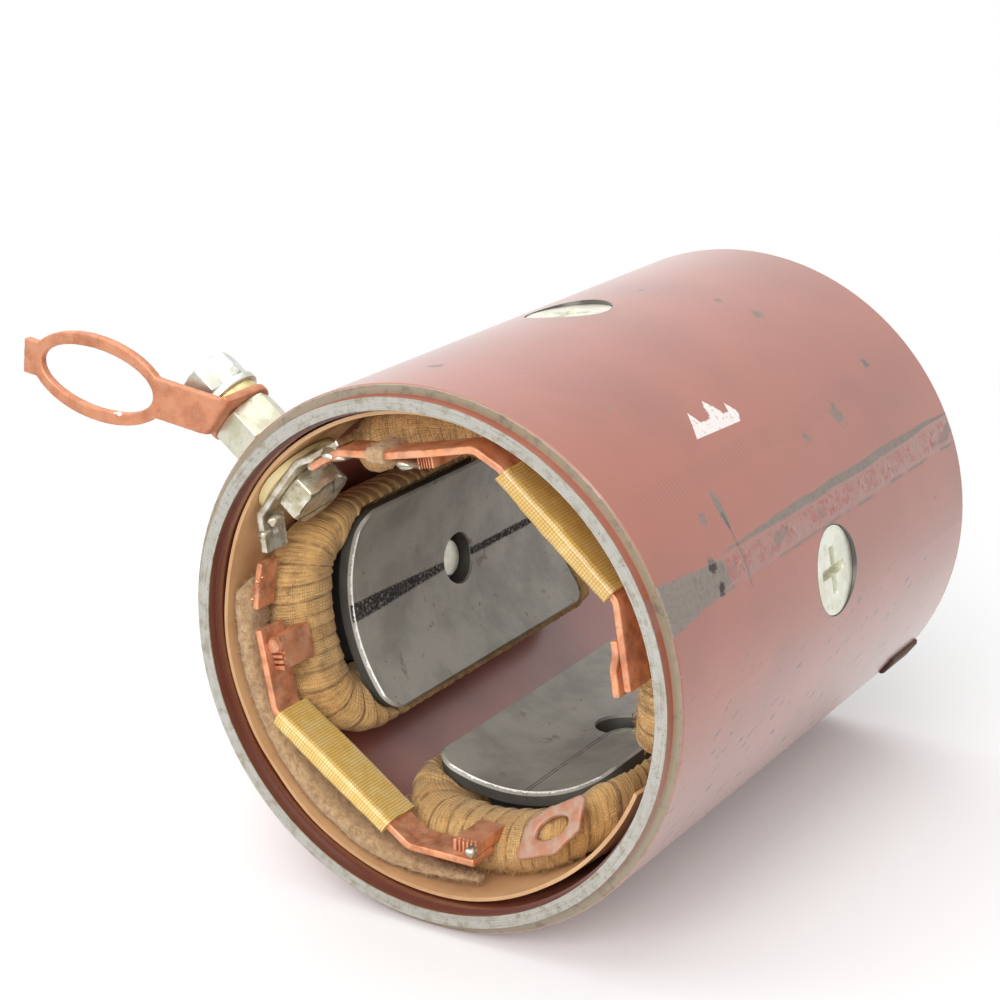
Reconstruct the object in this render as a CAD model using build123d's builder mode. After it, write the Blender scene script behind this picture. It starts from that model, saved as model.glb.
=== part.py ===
from build123d import *
from math import cos, degrees, radians, sin, sqrt, tan
import os

# Field frame of a starter motor, lying on its side.
# The tube's axis runs along Y. The origin is on that axis, in the plane of the front rim.
# Angles are measured round the axis from +X towards +Z.

os.makedirs("parts", exist_ok=True)

# Yoke tube
yoke_d = 115.0
yoke_wall = 5.5
body_length = 141.6
spigot_length = 2.3
spigot_inset = 2.25
register_depth = 2.3
register_step = 0.65
rim_chamfer = 0.4

# Locating key let into the tube beside the rear rim
key_angle = -36.0
key_length = 15.0
key_width = 5.0
key_sink = 2.0
key_proud = 1.0
key_rim_gap = 1.0

# Pole shoes
pole_count = 4
pole_angle = 9.0
pole_bore_d = 76.0
shoe_tip_gap = 11.53
shoe_thickness = 3.0
shoe_corner_r = 5.0
shoe_edge_chamfer = 0.8
shoe_side_overhang = 9.5
shoe_end_overhang = 6.5

# Countersunk pole screws
screw_d = 10.0
screw_head_d = 19.0
screw_head_rim = 0.4
screw_head_sink = 1.0
screw_end_sink = 2.5
screw_end_chamfer = 1.0
screw_gap = 0.15
pole_hole_d = 12.0
pole_hole_depth = 5.0
recess_length = 10.5
recess_width = 2.2
recess_depth = 2.4

# Taped field coils
coil_side_gap = 8.65
coil_rim_gap = 14.0
coil_reach = 16.6
coil_corner_r = 15.0
coil_radial_gap = 0.3
coil_wall_gap = 1.2
coil_edge_chamfer = 3.2
coil_edge_share = 0.4
window_clearance = 0.5
window_end_gap = 1.0
window_corner_r = 3.0

# Pressboard liner in the front of the tube
liner_thickness = 0.8
liner_wall_gap = 0.15
liner_front = 4.2
liner_coil_lap = 12.0
liner_start_angle = -10.0
liner_arc = 350.0

# Copper leads in front of the coils
lead_width = 8.0
lead_thickness = 1.6
lead_bend_r = 3.0
lead_coil_gap = 1.6
lead_slide_gap = 0.05
sleeve_wall = 1.2
sleeve_gap = 0.12
sleeve_end_gap = 1.3
lower_sleeve_bare = 6.0
sleeve_corner_r = 1.6
tie_wall = 1.4
tie_length = 4.1
tie_end_gap = 0.4

# Bare ends of the coil windings, brazed to the leads
stack_height = 2.6
stack_front_inset = 2.0
stack_slot_width = 0.5
stack_slot_depth = 1.1
stack_slot_count = 5

# Felt-sleeved lead along the wall
felt_thickness = 4.4
felt_width = 8.6
felt_corner_chamfer = 1.3
felt_start_angle = 172.0
felt_arc = 108.0
felt_tab_thickness = 1.4
felt_tab_width = 6.0
felt_tab_angle = 165.0
felt_tab_arc = 13.5
felt_tab_gap = 0.2

# Brush eyelet on the bottom coil
eyelet_lead_gap = 4.65
eyelet_length = 19.5
eyelet_width = 11.0
eyelet_corner_r = 1.2
eyelet_hole_length = 9.3
eyelet_hole_width = 5.0
eyelet_thickness = 1.2
eyelet_gap = 0.1
eyelet_tilt = 45.0

# Terminal through the tube
terminal_angle = 143.0
terminal_from_rim = 15.0
stud_d = 8.0
stud_hole_gap = 0.2
hex_across_flats = 13.0
hex_chamfer = 0.9
stud_head_height = 5.3
stud_end_proud = 0.6
bush_wall = 1.8
bush_gap = 0.1
bush_flange_d = 16.0
bush_flange_thickness = 1.5
fibre_washer_d = 20.0
fibre_washer_thickness = 1.9
strap_thickness = 1.6
strap_pad_width = 14.0
strap_arm_front = 6.0
strap_arm_width = 7.5
strap_pad_arc = 19.0
lower_nut_height = 8.0
spring_washer_d = 13.4
spring_washer_thickness = 2.0
spring_washer_slit = 1.6
spring_washer_slit_tilt = 25.0
flat_washer_d = 15.0
flat_washer_thickness = 1.6
top_nut_height = 6.5

# Copper link on the terminal
link_thickness = 2.0
link_lug_d = 15.0
link_fold_drop = 10.0
link_fold_r = 1.6
link_lean = 30.0
link_rise = 1.9
link_neck_width = 8.9
link_neck_fillet = 4.0
link_reach = 31.4
link_opening_length = 30.4
link_opening_width = 13.0
link_bar = 2.9
link_tip_length = 2.2
link_tip_width = 8.0
link_tip_waist = 7.6

cut_overrun = 4.0

# Worked-out sizes
yoke_r = yoke_d / 2
bore_r = yoke_r - yoke_wall
spigot_r = yoke_r - spigot_inset
register_r = bore_r + register_step
frame_length = body_length + 2 * spigot_length
mid_y = frame_length / 2
pole_bore_r = pole_bore_d / 2
shoe_back_r = pole_bore_r + shoe_thickness
coil_outer_r = bore_r - coil_wall_gap
coil_inner_r = shoe_back_r + coil_radial_gap
coil_thickness = coil_outer_r - coil_inner_r
coil_edge = min(coil_edge_chamfer, coil_edge_share * coil_thickness)
coil_half_angle = 180 / pole_count - degrees(coil_side_gap / 2 / coil_inner_r)
coil_width = 2 * coil_inner_r * sin(radians(coil_half_angle))
coil_front = coil_rim_gap
coil_length = frame_length - 2 * coil_rim_gap
pole_front = coil_front + coil_reach
pole_length = coil_length - 2 * coil_reach
shoe_half_angle = 180 / pole_count - degrees(shoe_tip_gap / 2 / pole_bore_r)
shoe_width = 2 * pole_bore_r * sin(radians(shoe_half_angle))
core_width = shoe_width - 2 * shoe_side_overhang
core_length = pole_length - 2 * shoe_end_overhang
head_r = screw_head_d / 2
screw_r = screw_d / 2
head_top_r = yoke_r - screw_head_sink
window_width = core_width + 2 * window_clearance
window_length = pole_length + 2 * window_end_gap
lead_back = coil_front - lead_coil_gap
hex_corner_r = hex_across_flats / 2 / cos(radians(30))
stud_hole_r = stud_d / 2 + stud_hole_gap
bush_r = stud_hole_r + bush_wall
fibre_inner_r = coil_outer_r - fibre_washer_thickness
strap_inner_r = fibre_inner_r - strap_thickness
flange_top_r = yoke_r + bush_flange_thickness
link_seat_r = flange_top_r + lower_nut_height
spring_seat_r = link_seat_r + link_thickness
washer_seat_r = spring_seat_r + spring_washer_thickness
top_nut_seat_r = washer_seat_r + flat_washer_thickness
stud_end_r = top_nut_seat_r + top_nut_height + stud_end_proud

POLE_NAMES = ("right", "top", "left", "bottom")


# Planes and points of the tube
def outward(angle):
    return Vector(cos(radians(angle)), 0, sin(radians(angle)))


def round_the_tube(angle):
    return Vector(-sin(radians(angle)), 0, cos(radians(angle)))


def radial_plane(angle, radius, along):
    """Plane square to a radius, its y axis along the tube and its normal pointing outwards."""
    origin = outward(angle) * radius + Vector(0, along, 0)
    return Plane(origin=origin, x_dir=-round_the_tube(angle), z_dir=outward(angle))


def cross_plane(along, angle=0):
    """Plane square to the tube, facing the front, its x axis along the radius at an angle."""
    return Plane(origin=(0, along, 0), x_dir=outward(angle), z_dir=(0, -1, 0))


def half_plane(angle):
    """Plane through the axis: x is the radius and y runs along the tube."""
    return Plane(origin=(0, 0, 0), x_dir=outward(angle), z_dir=round_the_tube(angle))


def polar(radius, angle):
    return (radius * cos(radians(angle)), radius * sin(radians(angle)))


def screw_seat(angle):
    """Plane of the wide end of a pole screw's cone."""
    return radial_plane(angle, head_top_r - screw_head_rim, mid_y)


AROUND = Axis((0, 0, 0), (0, -1, 0))


def keep(piece, name):
    piece.part.label = name
    export_step(piece.part, f"parts/{name}.step")


# Yoke tube with its spigots, registers, screw seats and terminal hole
def yoke_profile():
    rear_shoulder = frame_length - spigot_length
    rear_step = frame_length - register_depth
    Polyline(
        (register_r, 0),
        (spigot_r, 0),
        (spigot_r, spigot_length),
        (yoke_r, spigot_length),
        (yoke_r, rear_shoulder),
        (spigot_r, rear_shoulder),
        (spigot_r, frame_length),
        (register_r, frame_length),
        (register_r, rear_step),
        (bore_r, rear_step),
        (bore_r, register_depth),
        (register_r, register_depth),
        close=True,
    )


pole_angles = [pole_angle + step * 360 / pole_count for step in range(pole_count)]
key_rear = frame_length - spigot_length - key_rim_gap
key_centre = key_rear - key_length / 2

with BuildPart() as yoke:
    with BuildSketch(Plane.XY):
        with BuildLine():
            yoke_profile()
        make_face()
    revolve(axis=Axis.Y)
    shoulders = yoke.edges().filter_by(GeomType.CIRCLE).group_by(SortBy.RADIUS)[-1]
    chamfer(shoulders, rim_chamfer)
    for angle in pole_angles:
        with BuildSketch(screw_seat(angle)):
            Circle(head_r + screw_gap)
        extrude(amount=screw_head_rim + screw_head_sink + cut_overrun, mode=Mode.SUBTRACT)
        with Locations(screw_seat(angle)):
            CounterSinkHole(screw_r + screw_gap, head_r + screw_gap, 2 * yoke_wall, counter_sink_angle=90)
    with BuildSketch(radial_plane(terminal_angle, bore_r - cut_overrun, terminal_from_rim)):
        Circle(bush_r + bush_gap)
    extrude(amount=yoke_wall + 2 * cut_overrun, mode=Mode.SUBTRACT)
    with BuildSketch(radial_plane(key_angle, yoke_r - key_sink, key_centre)):
        Rectangle(key_width, key_length)
    extrude(amount=key_sink + cut_overrun, mode=Mode.SUBTRACT)
keep(yoke, "yoke")

with BuildPart() as locating_key:
    with BuildSketch(radial_plane(key_angle, yoke_r - key_sink, key_centre)):
        Rectangle(key_width, key_length)
    extrude(amount=key_sink + key_proud)
    key_top = locating_key.faces().sort_by(Axis((0, 0, 0), outward(key_angle)))[-1]
    chamfer(key_top.edges(), key_proud / 2)
keep(locating_key, "locating_key")


# Pole shoes: a curved shoe on a narrower core that seats on the bore
def pole_shoe(angle):
    with BuildPart() as pole:
        with BuildSketch(cross_plane(pole_front + pole_length, angle)):
            Circle(shoe_back_r)
            Circle(pole_bore_r, mode=Mode.SUBTRACT)
            Rectangle(shoe_back_r, shoe_width, align=(Align.MIN, Align.CENTER), mode=Mode.INTERSECT)
        extrude(amount=pole_length)
        corners = pole.edges().filter_by(Axis((0, 0, 0), outward(angle)))
        fillet(corners, shoe_corner_r)
        with BuildSketch(cross_plane(mid_y + core_length / 2, angle)):
            Circle(bore_r)
            Circle(pole_bore_r + shoe_thickness / 2, mode=Mode.SUBTRACT)
            Rectangle(yoke_r, core_width, align=(Align.MIN, Align.CENTER), mode=Mode.INTERSECT)
        extrude(amount=core_length)
        bore_face = pole.faces().sort_by(SortBy.AREA).filter_by(GeomType.CYLINDER)[-2:]
        bore_face = bore_face.sort_by(Axis((0, 0, 0), outward(angle)))[0]
        ends = bore_face.edges().filter_by(GeomType.CIRCLE)
        chamfer(ends, shoe_edge_chamfer)
        with Locations(screw_seat(angle)):
            CounterSinkHole(screw_r + screw_gap, head_r + screw_gap, yoke_r, counter_sink_angle=90)
        with BuildSketch(radial_plane(angle, 0, mid_y)):
            Circle(pole_hole_d / 2)
        extrude(amount=pole_bore_r + pole_hole_depth, mode=Mode.SUBTRACT)
    return pole


# Countersunk screw with a cross recess
def pole_screw(angle):
    end_r = pole_bore_r + screw_end_sink
    cone_top = head_top_r - screw_head_rim
    cone_foot = cone_top - (head_r - screw_r)
    with BuildPart() as screw:
        with BuildSketch(Plane(origin=(0, mid_y, 0), x_dir=outward(angle), z_dir=round_the_tube(angle))):
            with BuildLine():
                Polyline(
                    (end_r, 0),
                    (end_r, screw_r - screw_end_chamfer),
                    (end_r + screw_end_chamfer, screw_r),
                    (cone_foot, screw_r),
                    (cone_top, head_r),
                    (head_top_r, head_r),
                    (head_top_r, 0),
                    close=True,
                )
            make_face()
        revolve(axis=Axis((0, mid_y, 0), outward(angle)))
        with BuildSketch(radial_plane(angle, head_top_r, mid_y)):
            Rectangle(recess_length, recess_width)
            Rectangle(recess_width, recess_length)
        extrude(amount=-recess_depth, mode=Mode.SUBTRACT, taper=10)
    return screw


# Taped coil: a racetrack round the core, bent to the tube
def field_coil(angle):
    with BuildPart() as coil:
        with BuildSketch(radial_plane(angle, 0, mid_y)):
            RectangleRounded(coil_width, coil_length, coil_corner_r)
        extrude(amount=yoke_r)
        with BuildSketch(cross_plane(frame_length)):
            Circle(coil_outer_r)
            Circle(coil_inner_r, mode=Mode.SUBTRACT)
        extrude(amount=frame_length, mode=Mode.INTERSECT)
        rims = coil.edges().filter_by(on_a_rim)
        chamfer(rims, coil_edge)
        with BuildSketch(radial_plane(angle, 0, mid_y)):
            RectangleRounded(window_width, window_length, window_corner_r)
        extrude(amount=yoke_r, mode=Mode.SUBTRACT)
    return coil


def on_a_rim(edge):
    """True for an edge that lies on the coil's inner or outer curved face."""
    points = [edge @ share for share in (0.0, 0.5, 1.0)]
    radii = [Vector(point.X, 0, point.Z).length for point in points]
    inner = all(abs(radius - coil_inner_r) < coil_radial_gap / 10 for radius in radii)
    outer = all(abs(radius - coil_outer_r) < coil_radial_gap / 10 for radius in radii)
    return inner or outer


coils = {}
for name, angle in zip(POLE_NAMES, pole_angles):
    keep(pole_shoe(angle), f"{name}_pole_shoe")
    keep(pole_screw(angle), f"{name}_pole_screw")
    coils[name] = field_coil(angle)
    keep(coils[name], f"{name}_field_coil")

# Pressboard liner between the coil ends and the tube
with BuildPart() as front_liner:
    liner_length = coil_front + liner_coil_lap - liner_front
    with BuildSketch(half_plane(liner_start_angle)):
        with Locations((bore_r - liner_wall_gap, liner_front)):
            Rectangle(liner_thickness, liner_length, align=(Align.MAX, Align.MIN))
    revolve(axis=AROUND, revolution_arc=liner_arc)
    with BuildSketch(radial_plane(terminal_angle, coil_inner_r, terminal_from_rim)):
        Circle(bush_r + bush_gap)
    extrude(amount=yoke_r - coil_inner_r, mode=Mode.SUBTRACT)
keep(front_liner, "front_liner")

# Jumper leads: flat copper bent round the front of the coils
strap_lap_r = strap_inner_r - lead_thickness / 2 - lead_slide_gap
lower_lead_angles = (183.0, 206.7, 261.5, 283.0)
lower_lead_rise_shares = (1.3, 1.9, 0.95, 1.2)
upper_lead_angles = (129.0, 119.0, 104.0, 91.0, 78.0, 70.0, 27.0, 4.0)
upper_lead_drop_shares = (0.3, 0.5, 2.5, 2.0, -0.2, 0.5, 0.0, 1.2)
lower_corners = [
    polar(coil_inner_r + lead_thickness * share, angle)
    for share, angle in zip(lower_lead_rise_shares, lower_lead_angles)
]
upper_corners = [
    polar(strap_lap_r - lead_thickness * share, angle)
    for share, angle in zip(upper_lead_drop_shares, upper_lead_angles)
]


def jumper(corners):
    with BuildPart() as lead:
        with BuildSketch(cross_plane(lead_back)):
            with BuildLine():
                FilletPolyline(*corners, radius=lead_bend_r)
            trace(line_width=lead_thickness)
        extrude(amount=lead_width)
    return lead


def run_plane(start, end, offset):
    """Plane square to a straight run of a lead, its x axis along the tube."""
    begin = Vector(start[0], lead_back - lead_width / 2, start[1])
    finish = Vector(end[0], lead_back - lead_width / 2, end[1])
    along = (finish - begin).normalized()
    return Plane(origin=begin + along * offset, x_dir=(0, 1, 0), z_dir=along)


def run_length(start, end):
    return (Vector(*end) - Vector(*start)).length


def sleeve_over(start, end, wall, first_gap, last_gap):
    """Flat sleeve round a straight run of a lead."""
    inner_thickness = lead_thickness + 2 * sleeve_gap
    inner_width = lead_width + 2 * sleeve_gap
    with BuildPart() as sleeve:
        with BuildSketch(run_plane(start, end, first_gap)):
            RectangleRounded(inner_width + 2 * wall, inner_thickness + 2 * wall, sleeve_corner_r)
            Rectangle(inner_width, inner_thickness, mode=Mode.SUBTRACT)
        extrude(amount=run_length(start, end) - first_gap - last_gap)
    return sleeve


keep(jumper(lower_corners), "lower_jumper")
keep(jumper(upper_corners), "upper_jumper")
lower_run = lower_corners[1:3]
upper_run = upper_corners[5:7]
tie_run = upper_corners[1:3]
tie_start = run_length(*tie_run) - tie_length - tie_end_gap
keep(sleeve_over(*lower_run, sleeve_wall, sleeve_end_gap, lower_sleeve_bare), "lower_sleeve")
keep(sleeve_over(*upper_run, sleeve_wall, sleeve_end_gap, sleeve_end_gap), "upper_sleeve")
keep(sleeve_over(*tie_run, tie_wall, tie_start, tie_end_gap), "cotton_tie")


# Bare winding ends: a stack of copper turns brazed to the inner face of a lead
def winding_end(start, end, first_share, last_share, coil):
    length = run_length(start, end)
    begin = Vector(start[0], coil_front, start[1])
    along = (Vector(end[0], coil_front, end[1]) - begin).normalized()
    plane = Plane(origin=begin, x_dir=along, z_dir=(0, -1, 0))
    towards_axis = 1 if plane.to_local_coords(Vector(0, coil_front, 0)).Y > 0 else -1
    inner_face = towards_axis * (lead_thickness / 2 + lead_slide_gap)
    top_face = inner_face + towards_axis * stack_height
    middle = length * (first_share + last_share) / 2
    width = length * (last_share - first_share)
    height = lead_coil_gap + lead_width - stack_front_inset
    with BuildPart() as stack:
        with BuildSketch(plane.offset(-coil_edge)):
            with Locations((middle, (inner_face + top_face) / 2)):
                Rectangle(width, stack_height)
        extrude(amount=height + coil_edge)
        with BuildSketch(plane.offset(height - stack_slot_depth)):
            with Locations((middle, (inner_face + top_face) / 2)):
                with GridLocations(width / (stack_slot_count + 1), 0, stack_slot_count, 1):
                    Rectangle(stack_slot_width, stack_height + 2 * stack_slot_depth)
        extrude(amount=stack_slot_depth + cut_overrun, mode=Mode.SUBTRACT)
        add(coil.part, mode=Mode.SUBTRACT)
    return stack


winding_ends = {
    "left": (lower_corners[0], lower_corners[1], 0.12, 0.52),
    "bottom": (lower_corners[2], lower_corners[3], 0.62, 0.98),
    "top": (upper_corners[2], upper_corners[3], 0.6, 0.97),
}
for name, (start, end, first_share, last_share) in winding_ends.items():
    keep(winding_end(start, end, first_share, last_share, coils[name]), f"{name}_winding_end")

# The right coil's end is one strip that springs away from the end of the upper jumper
prong_along_shares = (0.44, 0.6, 0.76, 1.07)
prong_step_shares = (1.0, 1.0, 1.6, 1.65)
prong_start = Vector(upper_corners[6][0], lead_back, upper_corners[6][1])
prong_run = Vector(upper_corners[7][0], lead_back, upper_corners[7][1]) - prong_start
prong_plane = Plane(origin=prong_start, x_dir=prong_run, z_dir=(0, -1, 0))
prong_side = 1 if prong_plane.to_local_coords(Vector(0, lead_back, 0)).Y > 0 else -1
prong_points = [
    (prong_run.length * along, prong_side * (lead_thickness + lead_slide_gap) * step)
    for along, step in zip(prong_along_shares, prong_step_shares)
]
with BuildPart() as right_winding_end:
    with BuildSketch(prong_plane.offset(lead_width)):
        with BuildLine():
            FilletPolyline(*prong_points, radius=lead_bend_r)
        trace(line_width=lead_thickness)
    extrude(amount=-(lead_width + lead_coil_gap + coil_edge))
    add(coils["right"].part, mode=Mode.SUBTRACT)
keep(right_winding_end, "right_winding_end")

# Felt-sleeved lead along the tube wall, and its bare copper tab
felt_r = coil_outer_r - felt_thickness / 2
felt_y = coil_front - felt_width / 2 - lead_slide_gap
with BuildPart() as felt_lead:
    with BuildSketch(half_plane(felt_start_angle)) as felt_section:
        with Locations((felt_r, felt_y)):
            Rectangle(felt_thickness, felt_width)
        chamfer(felt_section.vertices(), felt_corner_chamfer)
    revolve(axis=AROUND, revolution_arc=felt_arc)
keep(felt_lead, "felt_lead")

with BuildPart() as felt_lead_tab:
    with BuildSketch(half_plane(felt_tab_angle)):
        with Locations((coil_outer_r - felt_thickness - felt_tab_gap, felt_y)):
            Rectangle(felt_tab_thickness, felt_tab_width, align=(Align.MAX, Align.CENTER))
    revolve(axis=AROUND, revolution_arc=felt_tab_arc)
keep(felt_lead_tab, "felt_lead_tab")

# Brush eyelet lying on the chamfered front edge of the bottom coil
edge_centre_r = coil_inner_r + coil_edge
edge_centre_y = coil_front + coil_edge
eyelet_angle = lower_lead_angles[-1] + degrees((eyelet_length / 2 + eyelet_lead_gap) / coil_inner_r)
eyelet_sag = coil_inner_r - sqrt(coil_inner_r**2 - (eyelet_length / 2) ** 2)
edge_reach = coil_edge * cos(radians(eyelet_tilt)) + eyelet_sag + eyelet_gap
lean = outward(eyelet_angle) * -cos(radians(eyelet_tilt)) + Vector(0, -sin(radians(eyelet_tilt)), 0)
edge_point = outward(eyelet_angle) * edge_centre_r + Vector(0, edge_centre_y, 0) + lean * edge_reach
eyelet_shares = ((-0.54, -0.35), (0.03, -0.55), (0.38, -0.25), (0.46, 0.45), (-0.03, 0.45), (-0.33, 0.36))
eyelet_points = [(eyelet_length * along, eyelet_width * across) for along, across in eyelet_shares]
with BuildPart() as brush_eyelet:
    eyelet_plane = Plane(origin=edge_point, x_dir=round_the_tube(eyelet_angle), z_dir=lean)
    with BuildSketch(eyelet_plane) as eyelet_outline:
        with BuildLine():
            Polyline(*eyelet_points, close=True)
        make_face()
        fillet(eyelet_outline.vertices(), eyelet_corner_r)
        Ellipse(eyelet_hole_length / 2, eyelet_hole_width / 2, mode=Mode.SUBTRACT)
    extrude(amount=eyelet_thickness)
keep(brush_eyelet, "brush_eyelet")


# Terminal hardware, threaded on one radius of the tube
def terminal_plane(radius):
    return radial_plane(terminal_angle, radius, terminal_from_rim)


def hexagon(base_r, height):
    """Hexagon with its corners turned off at both ends."""
    crown = hex_corner_r - hex_chamfer
    rise = hex_chamfer * tan(radians(30))
    base = terminal_plane(base_r)
    side = Plane(origin=base.origin, x_dir=base.z_dir, z_dir=round_the_tube(terminal_angle))
    with BuildPart() as block:
        with BuildSketch(base):
            RegularPolygon(hex_across_flats / 2, 6, major_radius=False)
        extrude(amount=height)
        with BuildSketch(side):
            with BuildLine():
                Polyline(
                    (0, 0),
                    (0, crown),
                    (rise, hex_corner_r),
                    (height - rise, hex_corner_r),
                    (height, crown),
                    (height, 0),
                    close=True,
                )
            make_face()
        revolve(axis=Axis(base.origin, base.z_dir), mode=Mode.INTERSECT)
    return block


def hex_nut(base_r, height):
    with BuildPart() as nut:
        add(hexagon(base_r, height).part)
        with BuildSketch(terminal_plane(base_r)):
            Circle(stud_d / 2)
        extrude(amount=height, mode=Mode.SUBTRACT)
    return nut


def ring(base_r, thickness, outer_d, inner_r):
    with BuildPart() as washer:
        with BuildSketch(terminal_plane(base_r)):
            Circle(outer_d / 2)
            Circle(inner_r, mode=Mode.SUBTRACT)
        extrude(amount=thickness)
    return washer


with BuildPart() as terminal_stud:
    add(hexagon(strap_inner_r - stud_head_height, stud_head_height).part)
    with BuildSketch(terminal_plane(strap_inner_r)):
        Circle(stud_d / 2)
    extrude(amount=stud_end_r - strap_inner_r)
keep(terminal_stud, "terminal_stud")

with BuildPart() as terminal_bush:
    with BuildSketch(terminal_plane(coil_outer_r)):
        Circle(bush_flange_d / 2)
    extrude(amount=flange_top_r - coil_outer_r)
    with BuildSketch(cross_plane(frame_length)):
        Circle(yoke_r)
    extrude(amount=frame_length, mode=Mode.SUBTRACT)
    with BuildSketch(terminal_plane(coil_outer_r)):
        Circle(bush_r)
    extrude(amount=flange_top_r - coil_outer_r)
    with BuildSketch(terminal_plane(coil_inner_r)):
        Circle(stud_hole_r)
    extrude(amount=flange_top_r - coil_inner_r, mode=Mode.SUBTRACT)
keep(terminal_bush, "terminal_bush")

with BuildPart() as fibre_washer:
    with BuildSketch(terminal_plane(fibre_inner_r)):
        Circle(fibre_washer_d / 2)
        Circle(stud_hole_r, mode=Mode.SUBTRACT)
    extrude(amount=fibre_washer_thickness)
    with BuildSketch(cross_plane(frame_length)):
        Circle(coil_outer_r)
    extrude(amount=frame_length, mode=Mode.INTERSECT)
keep(fibre_washer, "fibre_washer")

# Tinned strap under the stud's head, reaching the upper jumper and the left coil
strap_r = strap_inner_r + strap_thickness / 2
pad_reach = strap_r / cos(radians(strap_pad_arc / 2))
pad_start = terminal_angle - strap_pad_arc / 2
pad_end = terminal_angle + strap_pad_arc / 2
lap_rise = (lead_thickness + strap_thickness) / 2 + lead_slide_gap
strap_end_angle = 161.0
strap_end_rise_share = 2.0
strap_corners = [
    polar(strap_lap_r - lead_thickness * upper_lead_drop_shares[1] + lap_rise, upper_lead_angles[1]),
    polar(strap_lap_r - lead_thickness * upper_lead_drop_shares[0] + lap_rise, upper_lead_angles[0]),
    polar(pad_reach, pad_start),
    polar(pad_reach, pad_end),
    polar(coil_inner_r + strap_thickness * strap_end_rise_share, strap_end_angle),
]
with BuildPart() as terminal_strap:
    with BuildSketch(cross_plane(strap_arm_front + strap_arm_width)):
        with BuildLine():
            Polyline(*strap_corners)
        trace(line_width=strap_thickness)
    extrude(amount=strap_arm_width)
    with BuildSketch(terminal_plane(strap_inner_r)):
        Rectangle(2 * strap_r * tan(radians(strap_pad_arc / 2)), strap_pad_width)
    extrude(amount=strap_thickness)
    with BuildSketch(terminal_plane(strap_inner_r)):
        Circle(stud_hole_r)
    extrude(amount=strap_thickness, both=True, mode=Mode.SUBTRACT)
keep(terminal_strap, "terminal_strap")

keep(hex_nut(flange_top_r, lower_nut_height), "terminal_lower_nut")
keep(hex_nut(top_nut_seat_r, top_nut_height), "terminal_top_nut")
keep(ring(washer_seat_r, flat_washer_thickness, flat_washer_d, stud_hole_r), "terminal_flat_washer")

with BuildPart() as terminal_spring_washer:
    add(ring(spring_seat_r, spring_washer_thickness, spring_washer_d, stud_hole_r).part)
    slit_plane = Plane(
        origin=terminal_plane(spring_seat_r).origin,
        x_dir=outward(terminal_angle),
        z_dir=(0, -1, 0),
    )
    with BuildSketch(slit_plane):
        with Locations((spring_washer_thickness / 2, 0)):
            Rectangle(3 * spring_washer_thickness, spring_washer_slit, rotation=spring_washer_slit_tilt)
    extrude(amount=spring_washer_d, mode=Mode.SUBTRACT)
keep(terminal_spring_washer, "terminal_spring_washer")

# Copper link: a lug on the stud, folded to a long eye with a flared tip
fold_y = terminal_from_rim - link_fold_drop
fold_width = link_neck_width / cos(radians(link_lean))
fold_shift = link_rise / cos(radians(link_lean))
neck_end = link_reach - link_opening_length / 2 - link_bar / 3
tip_root = link_reach + link_opening_length / 2
tip_end = tip_root + link_bar + link_tip_length
eye_direction = outward(terminal_angle + link_lean)
eye_plane = Plane(
    origin=outward(terminal_angle) * link_seat_r + Vector(0, fold_y + link_thickness, 0),
    x_dir=eye_direction,
    z_dir=(0, -1, 0),
)
fold_slope = tan(radians(link_lean))
neck_top = -link_rise - link_neck_width / 2
neck_foot = -link_rise + link_neck_width / 2


def in_the_waist(corner):
    """True for the two corners where the link's neck meets its eye."""
    along = (corner.center() - eye_plane.origin).dot(eye_direction)
    return neck_end / 2 < along < link_reach


with BuildPart() as terminal_link:
    with BuildSketch(terminal_plane(link_seat_r)):
        Circle(link_lug_d / 2)
        with Locations((fold_shift, 0)):
            Rectangle(fold_width, link_fold_drop, align=(Align.CENTER, Align.MAX))
        Circle(stud_hole_r, mode=Mode.SUBTRACT)
    extrude(amount=link_thickness)
    with BuildSketch(eye_plane) as link_face:
        with BuildLine():
            Polyline(
                (fold_slope * neck_top, neck_top),
                (neck_end, neck_top),
                (neck_end, neck_foot),
                (fold_slope * neck_foot, neck_foot),
                close=True,
            )
        make_face()
        with Locations((link_reach, -link_rise)):
            Ellipse(link_opening_length / 2 + link_bar, link_opening_width / 2 + link_bar)
        fillet(link_face.vertices().filter_by(in_the_waist), link_neck_fillet)
        with BuildLine():
            Polyline(
                (tip_root, -link_rise - link_tip_waist / 2),
                (tip_end, -link_rise - link_tip_width / 2),
                (tip_end, -link_rise + link_tip_width / 2),
                (tip_root, -link_rise + link_tip_waist / 2),
                close=True,
            )
        make_face()
        with Locations((link_reach, -link_rise)):
            Ellipse(link_opening_length / 2, link_opening_width / 2, mode=Mode.SUBTRACT)
    extrude(amount=link_thickness)
    fold_edges = terminal_link.edges().filter_by(Axis((0, 0, 0), round_the_tube(terminal_angle)))
    outer_fold = fold_edges.sort_by(Axis((0, 0, 0), outward(terminal_angle) + Vector(0, 1, 0)))[0]
    fillet(outer_fold, link_fold_r)
keep(terminal_link, "terminal_link")
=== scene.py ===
"""Looks of a starter motor's field frame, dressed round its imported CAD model."""
import logging
import math
import random
from dataclasses import dataclass
from enum import Enum
from typing import Any, Callable, Optional, Sequence, Union

import bmesh
import bpy
from mathutils import Matrix, Vector, noise


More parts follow.
